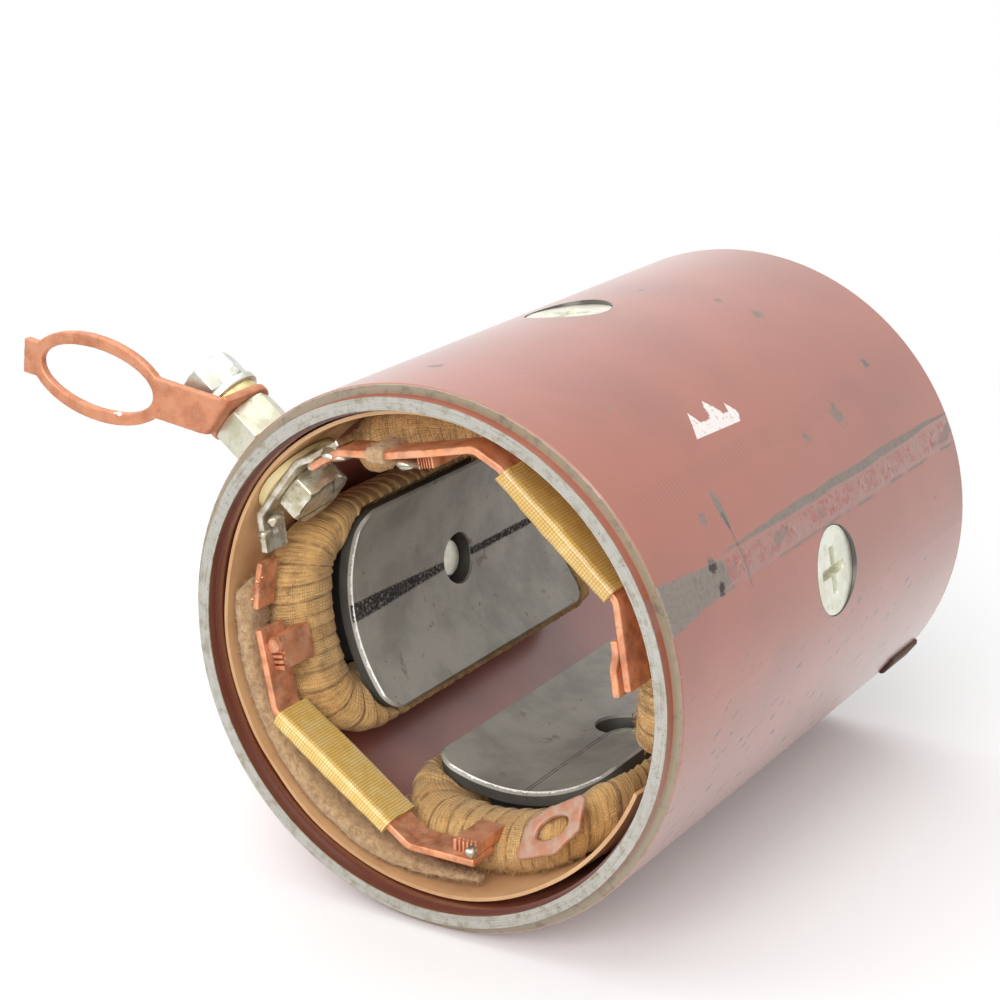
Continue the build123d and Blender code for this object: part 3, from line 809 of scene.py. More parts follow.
@dataclass(frozen=True)
class Felt(Finish):
    """Fuzzy cotton felt with matted tufts."""

    pale: Colour = srgb(198, 164, 122)
    tan: Colour = srgb(164, 128, 88)
    stain: Colour = srgb(112, 84, 54)

    def paint(self, nodes: Nodes) -> None:
        """Fill the material's nodes.

        Args:
            nodes: The material's empty tree.
        """
        place = nodes.millimetres()
        tufts = nodes.noise(place, 1.5, 5.0, 0.7)
        cloud = nodes.noise(place, 9.0, 3.0, 0.6)
        hair = nodes.noise(place, 0.28, 3.0, 0.8)
        colour = nodes.mix(self.tan, self.pale, tufts.above(0.32, 0.62))
        colour = nodes.mix(colour, self.stain, cloud.above(0.56, 0.75) * 0.3 + hair.above(0.52, 0.75) * 0.2)
        nodes.surface({
            "Base Color": colour,
            "Roughness": 0.95,
            "Normal": nodes.bump(tufts + hair * 0.5, 0.45, 0.8),
            "Sheen Weight": 0.3,
            "Sheen Roughness": 0.6,
        })


@dataclass(frozen=True)
class GlassSleeve(Finish):
    """Varnished woven glass sleeve: a fine yellow weave under a glossy coat."""

    yellow: Colour = srgb(240, 200, 104)
    pale: Colour = srgb(250, 230, 168)
    brown: Colour = srgb(150, 104, 44)
    burnt: float = 0.0
    pitch: float = 0.66

    def paint(self, nodes: Nodes) -> None:
        """Fill the material's nodes.

        Args:
            nodes: The material's empty tree.
        """
        place = nodes.millimetres()
        length, girth, _ = nodes.laid()
        cloud = nodes.noise(place, 3.5, 4.0, 0.6)
        lines = abs((length / self.pitch).part() - 0.5) | abs((girth / self.pitch).part() - 0.5)
        lines = lines.above(0.28, 0.46)
        colour = nodes.mix(self.yellow, self.pale, cloud.below(0.3, 0.6) * 0.5)
        colour = nodes.mix(colour, self.brown, lines * 0.6 | cloud.above(0.55, 0.75) * 0.3)
        if self.burnt:
            colour = nodes.mix(colour, self.brown, nodes.noise(place, 6.0).above(0.2, 0.5) * self.burnt)
        nodes.surface({
            "Base Color": colour,
            "Roughness": 0.42 + cloud * 0.1,
            "Normal": nodes.bump((1 - lines) + cloud * 0.5, 0.12, 0.6),
            "Coat Weight": 0.8,
            "Coat Roughness": 0.12,
        })


@dataclass(frozen=True)
class Board(Finish):
    """Smooth pressed board or fibre, with faint streaks and oily stains."""

    pale: Colour = srgb(218, 176, 130)
    dark: Colour = srgb(176, 128, 84)
    oil: Colour = srgb(116, 80, 52)
    rough: float = 0.5

    def paint(self, nodes: Nodes) -> None:
        """Fill the material's nodes.

        Args:
            nodes: The material's empty tree.
        """
        _, angle, along = nodes.cylinder()
        place = nodes.millimetres()
        streaks = nodes.noise(nodes.joined(angle * 0.25, along * 1.6, 0.0), 1.0, 4.0, 0.6)
        cloud = nodes.noise(place, 12.0, 4.0, 0.6)
        colour = nodes.mix(self.pale, self.dark, streaks * 0.35 + cloud.above(0.4, 0.75) * 0.4)
        colour = nodes.mix(colour, self.oil, nodes.noise(place, 4.0, 5.0, 0.7).above(0.6, 0.8) * 0.4)
        nodes.surface({
            "Base Color": colour,
            "Roughness": self.rough + cloud * 0.15,
            "Normal": nodes.bump(streaks, 0.04, 0.5),
        })


PAINT = RedPaint("red_oxide_paint", "yoke_paint")
ZINC = Plated("zinc_plate", "zinc_steel")
ZINC_DULL = Plated(
    "zinc_plate_dull", "zinc_steel", srgb(236, 236, 224), srgb(222, 221, 202), srgb(112, 106, 88), 0.3, 0.3
)
NUT_ZINC = Plated("nut_zinc", "zinc_steel", srgb(214, 213, 196), srgb(196, 193, 166), dirt=0.35, rough=0.32)
STUD_ZINC = Plated(
    "oily_stud_zinc", "zinc_steel", srgb(240, 236, 222), srgb(192, 182, 154), srgb(62, 50, 34), 0.8, 0.24
)
# Painted shade: the locating key is coloured dark brown, as it looks in its shadow low on the tube's right.
KEY_STEEL = Plated(
    "shaded_key_steel", "zinc_steel", srgb(104, 84, 72), srgb(84, 62, 52), srgb(52, 38, 32), 0.6, 0.5
)
SPRING = Plated(
    "yellow_spring_steel", "spring_steel", srgb(220, 204, 152), srgb(196, 172, 104), srgb(70, 56, 34),
    0.4, 0.3,
)
TIN = Plated(
    "dull_solder", "tinned_copper", srgb(222, 218, 204), srgb(182, 170, 146), srgb(84, 68, 48), 0.55, 0.26
)
SOLDER = Plated(
    "bright_solder", "tinned_copper", srgb(226, 224, 214), srgb(176, 168, 148), dirt=0.4, rough=0.24
)
COPPER = Copper("strip_copper", "copper", tarnish=0.75, film=0.3)
LINK_COPPER = Copper(
    "link_copper", "copper", srgb(206, 138, 102), srgb(158, 94, 64), tarnish=0.55, film=0.15, rough=0.4,
    dab_at=(-79.0, 5.0, 40.2),
)
DUSTY_COPPER = Copper(
    "dusty_copper", "copper", srgb(204, 148, 122), srgb(170, 112, 86), srgb(190, 164, 146), 0.3, 0.95, 0.5
)
TAPE = CottonTape("cotton_tape", "coil_tape")
FELT = Felt("cotton_felt", "felt")
SLEEVE = GlassSleeve("woven_sleeve", "glass_sleeve")
SLEEVE_BURNT = GlassSleeve("woven_sleeve_browned", "glass_sleeve", burnt=0.35)
BOARD = Board("tan_pressboard", "pressboard")
FIBRE = Board("pale_fibre", "fibre", srgb(214, 198, 150), srgb(184, 164, 114), srgb(110, 92, 58), 0.5)
POLE_FINISHES = {
    Side.RIGHT: PoleSteel("right_pole_steel", "pole_steel", Side.RIGHT.value),
    Side.TOP: PoleSteel("top_pole_steel", "pole_steel", Side.TOP.value),
    Side.LEFT: PoleSteel("left_pole_steel", "pole_steel", Side.LEFT.value, 2.1, 0.9),
    Side.BOTTOM: PoleSteel("bottom_pole_steel", "pole_steel", Side.BOTTOM.value, scribe=1.0),
}


def placed(at: Vector, towards: Vector, axis: str) -> Matrix:
    """Matrix that moves to a point and turns one axis towards a direction."""
    return Matrix.Translation(at) @ towards.to_track_quat(axis, "Y").to_matrix().to_4x4()


def put_in_scene(name: str, data: bpy.types.ID) -> bpy.types.Object:
    """Make an object of a mesh, a lamp or a camera and link it to the scene.

    Args:
        name: The object's name.
        data: The mesh, lamp or camera.

    Returns:
        The object.
    """
    made = bpy.data.objects.new(name, data)
    bpy.context.scene.collection.objects.link(made)
    return made


@dataclass(frozen=True)
class Fuzz:
    """Loose fibres: how many, their mean length, their width at the root and the seed of their draws."""

    count: int
    length: float
    width: float
    seed: float


class Piece:
    """A mesh in the making, in millimetres, which becomes an object of the scene."""

    UV = "lay"
    WELD = 0.002
    BUNCH = 60
    FLAT_ANGLE = math.radians(0.6)
    SHARP_ANGLE = math.radians(40.0)

    def __init__(self, name: str) -> None:
        """Start an empty mesh.

        Args:
            name: The piece's name.
        """
        self.name = name
        self.mesh = bmesh.new()
        self.layer = self.mesh.loops.layers.uv.new(self.UV)

    def copy_node(self, node: str) -> None:
        """Take a CAD node's shape, merged and with its flat faces joined.

        Args:
            node: The node.
        """
        self.mesh.from_mesh(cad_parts[node].data)
        self.layer = self.mesh.loops.layers.uv.verify()
        bmesh.ops.scale(self.mesh, vec=(METRE,) * 3, verts=self.mesh.verts)
        bmesh.ops.remove_doubles(self.mesh, verts=self.mesh.verts, dist=self.WELD)
        bmesh.ops.dissolve_limit(
            self.mesh, angle_limit=self.FLAT_ANGLE, verts=self.mesh.verts, edges=self.mesh.edges
        )

    def round_edges(self, width: float) -> None:
        """Round the sharp edges by a bevel of a width.

        Args:
            width: The bevel's width.
        """
        edges = (edge for edge in self.mesh.edges if edge.is_manifold)
        sharp = [edge for edge in edges if edge.calc_face_angle() > self.SHARP_ANGLE]
        bmesh.ops.bevel(
            self.mesh, geom=sharp, offset=width, offset_type="OFFSET", segments=3, profile=0.5,
            affect="EDGES", clamp_overlap=False, material=-1,
        )

    def soften(self, voxel: float, rounds: int) -> None:
        """Rebuild the mesh on an even grid and wear its edges round.

        Args:
            voxel: The grid's size.
            rounds: How often it is smoothed.
        """
        data = bpy.data.meshes.new("soften")
        self.mesh.to_mesh(data)
        holder = put_in_scene("soften", data)
        remesh = holder.modifiers.new("even", "REMESH")
        remesh.mode = "VOXEL"
        remesh.voxel_size = voxel
        even = holder.evaluated_get(bpy.context.evaluated_depsgraph_get())
        self.mesh.clear()
        self.mesh.from_mesh(even.to_mesh())
        even.to_mesh_clear()
        bpy.data.objects.remove(holder)
        bpy.data.meshes.remove(data)
        self.layer = self.mesh.loops.layers.uv.verify()
        axes = {"use_axis_x": True, "use_axis_y": True, "use_axis_z": True}
        for _ in range(rounds):
            bmesh.ops.smooth_vert(self.mesh, verts=self.mesh.verts, factor=0.5, **axes)

    def lay_grid(self, columns: int, rows: int, place: Place, mark: Optional[Mark] = None) -> None:
        """Lay a grid along a surface and join the edges that meet.

        Args:
            columns: Faces along the first share.
            rows: Faces along the second share.
            place: Gives the point for two shares from 0 to 1.
            mark: Gives the surface coordinates for two shares.
        """
        grid = bmesh.ops.create_grid(self.mesh, x_segments=columns, y_segments=rows, size=1.0)["verts"]
        shares = {vert: ((vert.co.x + 1) / 2, (vert.co.y + 1) / 2) for vert in grid}
        for face in self.mesh.faces:
            for loop in face.loops:
                share = shares[loop.vert]
                loop[self.layer].uv = mark(*share) if mark else share
        for vert, share in shares.items():
            vert.co = place(*share)
        bmesh.ops.remove_doubles(self.mesh, verts=grid, dist=self.WELD)

    def close_ends(self) -> None:
        """Close every open loop of edges with a face."""
        rims = [edge for edge in self.mesh.edges if edge.is_boundary]
        bmesh.ops.holes_fill(self.mesh, edges=rims, sides=0)

    def face_outwards(self) -> None:
        """Turn all faces outwards."""
        bmesh.ops.recalc_face_normals(self.mesh, faces=self.mesh.faces)

    def add_hairs(self, fuzz: Fuzz, grows: Callable[[Vector], bool] = lambda point: True) -> None:
        """Stand fine closed fibres on the surface.

        Args:
            fuzz: The fibres.
            grows: Tells whether a face with its middle at a point may carry them.
        """
        self.mesh.normal_update()
        middles = ((face.calc_center_median(), face.normal.copy()) for face in self.mesh.faces)
        roots = [(middle, normal) for middle, normal in middles if grows(middle)]
        draw = random.Random(fuzz.seed)
        for first in range(0, fuzz.count, self.BUNCH):
            bunch = bmesh.new()
            bunch.loops.layers.uv.new(self.UV)
            for _ in range(min(self.BUNCH, fuzz.count - first)):
                point, normal = draw.choice(roots)
                loose = Vector((draw.gauss(0, 1), draw.gauss(0, 1), draw.gauss(0, 1)))
                lean = (normal * draw.uniform(0.25, 0.9) + loose * 0.45).normalized()
                size = fuzz.length * draw.uniform(0.5, 1.6)
                start = point + lean * (size * 0.42) - normal * (fuzz.width * 2)
                bmesh.ops.create_cone(
                    bunch, cap_ends=True, segments=3, radius1=fuzz.width, radius2=fuzz.width * 0.25,
                    depth=size, matrix=placed(start, lean, "Z"),
                )
            self.join(bunch)

    def join(self, other: bmesh.types.BMesh) -> None:
        """Add another mesh to this one and free it.

        Args:
            other: The other mesh.
        """
        data = bpy.data.meshes.new("joined")
        other.to_mesh(data)
        other.free()
        self.mesh.from_mesh(data)
        bpy.data.meshes.remove(data)

    def add_blob(self, middle: Vector, reach: Spot, seed: float, lumps: float = 0.3, detail: int = 3) -> None:
        """Add a lumpy rounded blob.

        Args:
            middle: Its middle.
            reach: Its half sizes along X, Y and Z.
            seed: Its place in the noise.
            lumps: How uneven it is.
            detail: Its subdivisions.
        """
        ball = bmesh.ops.create_icosphere(self.mesh, subdivisions=detail, radius=1.0)["verts"]
        for vert in ball:
            swell = 1 + lumps * grain(vert.co, 0.8, seed)
            vert.co = middle + Vector(size * share * swell for size, share in zip(reach, vert.co))

    def finish(self, finish: Finish, replaces: Sequence[str] = (), corner: float = 50.0) -> None:
        """Turn the mesh into an object that rides on the part.

        Args:
            finish: Its finish.
            replaces: CAD nodes that it stands for.
            corner: Edges sharper than this, in degrees, stay sharp.
        """
        bmesh.ops.scale(self.mesh, vec=(MM,) * 3, verts=self.mesh.verts)
        data = bpy.data.meshes.new(self.name)
        self.mesh.to_mesh(data)
        self.mesh.free()
        data.shade_smooth()
        data.set_sharp_from_angle(angle=math.radians(corner))
        data.materials.clear()
        data.materials.append(finish.material())
        piece = put_in_scene(self.name, data)
        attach(piece, BODY)
        for node in replaces:
            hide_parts(node)
        LOG.info("%s: %d faces", self.name, len(data.polygons))


def dress(node: str, finish: Finish) -> None:
    """Give a CAD node its finish.

    Args:
        node: The node.
        finish: The finish.
    """
    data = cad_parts[node].data
    data.materials.clear()
    data.materials.append(finish.material())
    LOG.info("%s: dressed", node)


def wear(node: str, suffix: str, finish: Finish, width: float) -> None:
    """Replace a CAD node by a copy with round edges.

    Args:
        node: The node.
        suffix: What its name ends in.
        finish: Its finish.
        width: The rounding's width.
    """
    piece = Piece(f"{node}_{suffix}")
    piece.copy_node(node)
    piece.round_edges(width)
    piece.finish(finish, [node])


@dataclass
class Studio:
    """Camera, white floor and soft light, with places and sizes in metres."""

    camera_at: Spot = (0.24333, -0.36469, 0.18013)
    looking: Spot = (-0.4978, 0.8084, -0.3140)
    lens: float = 86.08
    sensor: float = 36.0
    clip: Pair = (0.01, 20.0)
    floor_size: float = 6.0
    floor_white: float = 0.95
    glow_share: float = 0.1
    # Distances in millimetres at which the floor's glow starts to rise and is full.
    glow_reach: Pair = (190.0, 420.0)
    world_light: float = 0.4
    key_at: Spot = (-0.4, 0.1, 0.95)
    key_size: float = 1.9
    key_power: float = 13.0
    fill_at: Spot = (0.3, -1.0, 0.65)
    fill_size: float = 0.9
    fill_power: float = 12.0

    def build(self) -> None:
        """Set up the camera, the floor, the world and the lamps."""
        self.camera()
        self.floor()
        self.world()
        self.lamp("top_softbox", Vector(self.key_at), self.key_size, self.key_power)
        self.lamp("front_fill", Vector(self.fill_at), self.fill_size, self.fill_power)
        bpy.context.scene.view_settings.view_transform = "Standard"

    def camera(self) -> None:
        """Place the camera where the photograph was taken from."""
        data = bpy.data.cameras.new("camera")
        data.lens = self.lens
        data.sensor_width = self.sensor
        data.clip_start, data.clip_end = self.clip
        camera = put_in_scene("camera", data)
        camera.matrix_world = placed(Vector(self.camera_at), Vector(self.looking), "-Z")
        bpy.context.scene.camera = camera

    def floor(self) -> None:
        """Lay a white floor under the tube that keeps its shadow and glows towards the horizon."""
        mesh = bmesh.new()
        bmesh.ops.create_grid(mesh, x_segments=1, y_segments=1, size=self.floor_size / 2)
        bmesh.ops.translate(mesh, vec=(0.0, 0.0, YOKE_LOW.z * MM), verts=mesh.verts)
        data = bpy.data.meshes.new("floor")
        mesh.to_mesh(data)
        mesh.free()
        nodes = Nodes(bpy.data.materials.new("white_floor"))
        matte = nodes.node("BsdfDiffuse", None, {"Color": (self.floor_white,) * 3}).outputs[0]
        glow = nodes.node("Emission", None, {"Color": WHITE, "Strength": 1.0}).outputs[0]
        x, y, _ = nodes.axes(nodes.millimetres())
        far = span(x, y - MID_Y).above(*self.glow_reach)
        share = self.seen(nodes) * (far * (1 - self.glow_share) + self.glow_share)
        nodes.close(nodes.node("MixShader", None, {0: share, 1: matte, 2: glow}))
        data.materials.append(nodes.owner)
        floor = put_in_scene("floor", data)

    @staticmethod
    def seen(nodes: Nodes) -> Value:
        """Mask that is 1 where the camera looks, also by way of metal or glass.

        Args:
            nodes: The tree.

        Returns:
            The mask.
        """
        path = nodes.node("LightPath")
        names = ("Is Camera Ray", "Is Glossy Ray", "Is Transmission Ray")
        first, second, third = (Value(nodes, path.outputs[name]) for name in names)
        return first | second | third

    def world(self) -> None:
        """Fill the surroundings with plain white light."""
        nodes = Nodes(bpy.data.worlds.new("white_room"), "OutputWorld")
        strength = self.seen(nodes) * (1 - self.world_light) + self.world_light
        nodes.close(nodes.node("Background", None, {"Color": WHITE, "Strength": strength}))
        bpy.context.scene.world = nodes.owner

    @staticmethod
    def lamp(name: str, place: Vector, size: float, power: float) -> None:
        """Hang a square soft light that faces the part.

        Args:
            name: Its name.
            place: Where it hangs.
            size: Its side.
            power: Its power in watts.
        """
        data = bpy.data.lights.new(name, "AREA")
        data.size = size
        data.energy = power
        lamp = put_in_scene(name, data)
        lamp.matrix_world = placed(place, Vector((0.0, MID_Y * MM, 0.0)) - place, "-Z")


@dataclass
class Yoke:
    """The painted tube with its weld, and the screws and poles that it carries."""

    bead_half: float = 3.7
    bead_front: float = 2.7
    bead_height: float = 0.3
    bead_film: float = 0.1
    bead_sink: float = 0.06
    bead_grid: tuple[int, int] = (420, 34)

    def build(self) -> None:
        """Dress the CAD pieces and lay the weld bead."""
        dress("yoke", PAINT)
        dress("locating_key", KEY_STEEL)
        for side, finish in POLE_FINISHES.items():
            dress(f"{side.word}_pole_shoe", finish)
            dress(f"{side.word}_pole_screw", ZINC_DULL)
        piece = Piece("weld_bead")
        piece.lay_grid(*self.bead_grid, self.bead)
        piece.face_outwards()
        piece.finish(PAINT, corner=80.0)

    def bead(self, along_share: float, across_share: float) -> Vector:
        """Point on the lumpy weld bead.

        Args:
            along_share: Share of the way along the tube.
            across_share: Share of the way across the bead.

        Returns:
            The point.
        """
        rear = YOKE_LENGTH - self.bead_front
        along = self.bead_front + (rear - self.bead_front) * along_share
        off = (2 * across_share - 1) * self.bead_half
        spot = Vector((off, along, 0.0))
        lumps = max(0.0, grain(spot, 1.3, 3.1) + 0.5 * grain(spot, 0.6, 8.0))
        patchy = ease(-0.1, 0.3, grain(spot, 7.0, 5.0))
        core = 1 - ease(1.2, 2.6, abs(off + 0.6 * grain(spot, 9.0, 1.0)))
        edge = 1 - ease(self.bead_half * 0.8, self.bead_half, abs(off))
        ends = ease(0.0, 0.03, along_share) * ease(0.0, 0.03, 1 - along_share)
        lump = self.bead_height * core * (0.25 + 1.4 * lumps * patchy)
        rise = -self.bead_sink + edge * ends * (self.bead_film + lump)
        return polar(YOKE_R + rise, PAINT.seam_angle + off, along)


@dataclass
class FieldCoil:
    """A taped coil round one pole: a racetrack of laps, bent to the tube."""

    side: Side
    seed: float
    half_width: float = 19.75
    half_length: float = 50.95
    corner_r: float = 9.0
    middle_r: float = 46.1
    half_height: float = 4.5
    half_side: float = 6.1
    half_end: float = 8.0
    square: float = 2.7
    lap_count: int = 80
    lap_rise: float = 0.6
    lap_crest: float = 0.84
    end_bulge: float = 2.4
    end_drop: float = 3.6
    shoe_half_width: float = 22.45
    shoe_half_length: float = 42.5
    shoe_corner_r: float = 5.0
    shoe_back_r: float = 41.2
    shoe_margin: float = 1.6
    frayed_depth: float = 6.0
    hair_count: int = 2400
    hair_length: float = 1.2
    hair_width: float = 0.055
    grid: tuple[int, int] = (800, 44)

    def build(self) -> None:
        """Wind the coil and fray its tape."""
        piece = Piece(f"{self.side.word}_taped_coil")
        piece.lay_grid(*self.grid, self.place, self.mark)
        piece.face_outwards()
        fuzz = Fuzz(self.hair_count, self.hair_length, self.hair_width, self.seed)
        piece.add_hairs(fuzz, lambda point: point.y < COIL_FRONT + self.frayed_depth)
        piece.finish(TAPE, [f"{self.side.word}_field_coil"], corner=60.0)

    def turns(self, share: float, round_share: float) -> float:
        """Laps of tape wound so far, with the unevenness of winding by hand.

        Args:
            share: Share of the way round the racetrack.
            round_share: Share of the way round the section.

        Returns:
            The laps.
        """
        turn = math.tau * share
        uneven = 0.8 * noise.noise(Vector((math.cos(turn), math.sin(turn), self.seed)) * 4.0)
        slip = 0.16 * math.sin(math.tau * round_share + self.seed)
        return share * self.lap_count + uneven + slip + round_share

    def mark(self, share: float, round_share: float) -> Pair:
        """Surface coordinates: laps of tape and distance round the section."""
        return self.turns(share, round_share), round_share * 4 * (self.half_end + self.half_height)

    def clear_of_shoe(self, across: float, along: float) -> float:
        """Distance outside the shoe's outline, negative under it.

        Args:
            across: Distance from the pole's middle plane.
            along: Distance behind the front rim.

        Returns:
            The distance.
        """
        side = abs(across) - self.shoe_half_width + self.shoe_corner_r
        end = abs(along - MID_Y) - self.shoe_half_length + self.shoe_corner_r
        return math.hypot(max(side, 0.0), max(end, 0.0)) + min(max(side, end), 0.0) - self.shoe_corner_r

    def tape_rise(self, share: float, round_share: float) -> float:
        """Height of the taped surface over the coil's mean one: each lap climbs, then drops to the next.

        Args:
            share: Share of the way round the racetrack.
            round_share: Share of the way round the section.

        Returns:
            The height.
        """
        laps = self.turns(share, round_share)
        part = laps - math.floor(laps)
        step = part / self.lap_crest if part < self.lap_crest else (1 - part) / (1 - self.lap_crest)
        lap_size = 0.65 + 0.45 * noise.noise(Vector((math.floor(laps) * 5.3, self.seed, 0.0)))
        return self.lap_rise * (step - 0.6) * lap_size

    def place(self, share: float, round_share: float) -> Vector:
        """Point on the taped surface.

        Args:
            share: Share of the way round the racetrack.
            round_share: Share of the way round the section.

        Returns:
            The point.
        """
        middle, out = racetrack(share, self.half_width, self.half_length, self.corner_r)
        turn = math.tau * round_share
        across, up = math.cos(turn), math.sin(turn)
        rise = self.tape_rise(share, round_share)
        half = self.half_side + (self.half_end - self.half_side) * out.y * out.y
        flat = middle + out * (half * signed_power(across, 2 / self.square) + rise * across)
        along = MID_Y + flat.y
        free = ease(0.0, self.shoe_margin, self.clear_of_shoe(flat.x, along))
        height = self.half_height * signed_power(up, 2 / self.square) + rise * up
        if up < 0:
            height -= self.end_bulge * free * up * up
        rough = Vector((flat.x, flat.y, height))
        height += 0.2 * grain(rough, 3.0, self.seed) + 0.05 * grain(rough, 0.7, self.seed)
        reach = max(self.middle_r + height, self.shoe_back_r - self.end_drop * free)
        lift = math.sqrt(max(reach * reach - flat.x * flat.x, 1.0))
        outward = polar(1.0, self.side.value, 0.0)
        round_it = Vector((-outward.z, 0.0, outward.x))
        return outward * lift + round_it * flat.x + Vector((0.0, along, 0.0))


@dataclass(frozen=True)
class Run:
    """The covered part of a lead's straight run."""

    first: Vector
    last: Vector
    ahead: Vector

    @property
    def length(self) -> float:
        """How long it is."""
        return (self.last - self.first).length

    @property
    def square(self) -> Vector:
        """The direction square to the strip's flat side."""
        return self.ahead.cross(Vector((0.0, 1.0, 0.0)))

    def at(self, along: float, wide: float, high: float) -> Vector:
        """Point at distances along the run, across the strip and square to it."""
        return self.first + self.ahead * along + Vector((0.0, wide, 0.0)) + self.square * high


@dataclass
class Leads:
    """Copper jumpers, their sleeves and tie, the felt lead and the bare winding ends."""

    # Radius and angle of a run's corners, and the length left bare at each end.
    lower_run: tuple[Pair, Pair] = ((44.34, 206.7), (42.82, 261.5))
    lower_gaps: Pair = (1.3, 6.0)
    upper_run: tuple[Pair, Pair] = ((45.65, 70.0), (46.45, 27.0))
    upper_gaps: Pair = (1.3, 1.3)
    tie_run: tuple[Pair, Pair] = ((45.65, 119.0), (42.45, 104.0))
    tie_gaps: Pair = (7.5, 0.4)
    # Half width, half height and corner radius.
    tie_section: Spot = (4.7, 1.9, 1.4)
    tie_grid: tuple[int, int] = (60, 60)
    tie_fuzz: Fuzz = Fuzz(500, 0.9, 0.035, 5)
    lead_front: float = 4.4
    lead_back: float = 12.4
    strip_edge: float = 0.4
    turn_edge: float = 0.12
    sleeve_half_width: float = 5.3
    sleeve_half_height: float = 2.1
    sleeve_corner_r: float = 1.5
    sleeve_grid: tuple[int, int] = (120, 60)
    sleeve_fuzz: Fuzz = Fuzz(140, 1.0, 0.035, 17)
    felt_r: float = 48.55
    felt_y: float = 9.65
    felt_half_width: float = 4.25
    felt_half_height: float = 2.15
    felt_from: float = 172.0
    felt_to: float = 280.0
    felt_grid: tuple[int, int] = (260, 44)
    felt_fuzz: Fuzz = Fuzz(7000, 0.95, 0.05, 23)
    # Radius, angle and distance behind the front rim; half sizes; and unevenness.
    drops: tuple[tuple[Spot, Spot, float], ...] = (
        ((45.6, 121.5, 7.5), (3.0, 3.6, 1.5), 0.3),
        ((40.2, 99.5, 7.4), (3.2, 2.6, 1.0), 0.5),
        ((41.0, 282.2, 5.4), (1.3, 1.3, 1.3), 0.3),
    )
    crumb_count: int = 14
    crumbs_at: Spot = (45.0, 171.0, 5.8)
    rivet_at: Spot = (40.7, 187.8, 6.1)
    rivet_r: Pair = (1.8, 1.5)
    rivet_height: float = 0.9

    def build(self) -> None:
        """Make every lead."""
        for node in ("upper_jumper", "lower_jumper", "felt_lead_tab", "right_winding_end"):
            wear(node, "copper", COPPER, self.strip_edge)
        for side in (Side.TOP, Side.LEFT, Side.BOTTOM):
            wear(f"{side.word}_winding_end", "copper", COPPER, self.turn_edge)
        wear("brush_eyelet", "copper", DUSTY_COPPER, self.strip_edge)
        self.sleeve("lower_sleeve", self.run(self.lower_run, self.lower_gaps), SLEEVE)
        self.sleeve("upper_sleeve", self.run(self.upper_run, self.upper_gaps), SLEEVE_BURNT)
        self.tie(self.run(self.tie_run, self.tie_gaps))
        self.felt()
        self.solder()
        self.crumbs()

    def run(self, ends: Sequence[Pair], gaps: Pair) -> Run:
        """Find the covered part of a lead's straight run.

        Args:
            ends: Radius and angle of each corner.
            gaps: Length left bare at each end.

        Returns:
            The covered part.
        """
        middle = (self.lead_front + self.lead_back) / 2
        first, last = (polar(radius, angle, middle) for radius, angle in ends)
        ahead = (last - first).normalized()
        return Run(first + ahead * gaps[0], last - ahead * gaps[1], ahead)

    def sleeve(self, node: str, run: Run, finish: Finish) -> None:
        """Slip a woven sleeve on a lead.

        Args:
            node: The CAD node that it replaces.
            run: The part of the lead that it covers.
            finish: Its finish.
        """
        sizes = (self.sleeve_half_width, self.sleeve_half_height, self.sleeve_corner_r)
        girth = 4 * (self.sleeve_half_width + self.sleeve_half_height) + (math.tau - 8) * self.sleeve_corner_r
        length = run.length
        reach = self.sleeve_half_width + 0.4

        def place(along: float, round_share: float) -> Vector:
            """Point on the sleeve.

            Args:
                along: Share of the way along.
                round_share: Share of the way round the section.

            Returns:
                The point.
            """
            section, out = racetrack(round_share, *sizes)
            ragged = 0.3 * noise.noise(Vector((round_share * 9, length, along))) * (2 * along - 1)
            spot = run.at(length * along + ragged, section.x, section.y)
            swell = 0.1 * grain(spot, 2.4, length) - 0.12 * math.cos(math.tau * along) * abs(out.y)
            return spot + (Vector((0.0, out.x, 0.0)) + run.square * out.y) * swell

        def mark(along: float, round_share: float) -> Pair:
            """Distances along the sleeve and round it."""
            return along * length, round_share * girth

        piece = Piece(f"{node}_weave")
        piece.lay_grid(*self.sleeve_grid, place, mark)
        piece.close_ends()
        piece.face_outwards()
        piece.add_hairs(
            self.sleeve_fuzz, lambda point: min((point - run.first).length, (point - run.last).length) < reach
        )
        piece.finish(finish, [node], corner=60.0)

    def tie(self, run: Run) -> None:
        """Wrap the lump of cotton cloth round a run of the upper jumper.

        Args:
            run: The part of the jumper that it covers.
        """
        length = run.length

        def place(along: float, round_share: float) -> Vector:
            """Point on the cloth.

            Args:
                along: Share of the way along.
                round_share: Share of the way round the section.

            Returns:
                The point.
            """
            section, out = racetrack(round_share, *self.tie_section)
            bulge = 0.7 + 0.3 * math.sin(math.pi * along)
            spot = run.at(length * along, section.x, section.y * bulge)
            return spot + run.square * (out.y * (0.3 * grain(spot, 1.4, 4.0) + 0.1 * grain(spot, 0.5, 7.0)))

        piece = Piece("cotton_tie_cloth")
        piece.lay_grid(*self.tie_grid, place, lambda along, round_share: (along * length, round_share))
        piece.close_ends()
        piece.face_outwards()
        piece.add_hairs(self.tie_fuzz)
        piece.finish(FELT, ["cotton_tie"], corner=60.0)

    def felt(self) -> None:
        """Lay the fuzzy sleeved lead along the wall."""

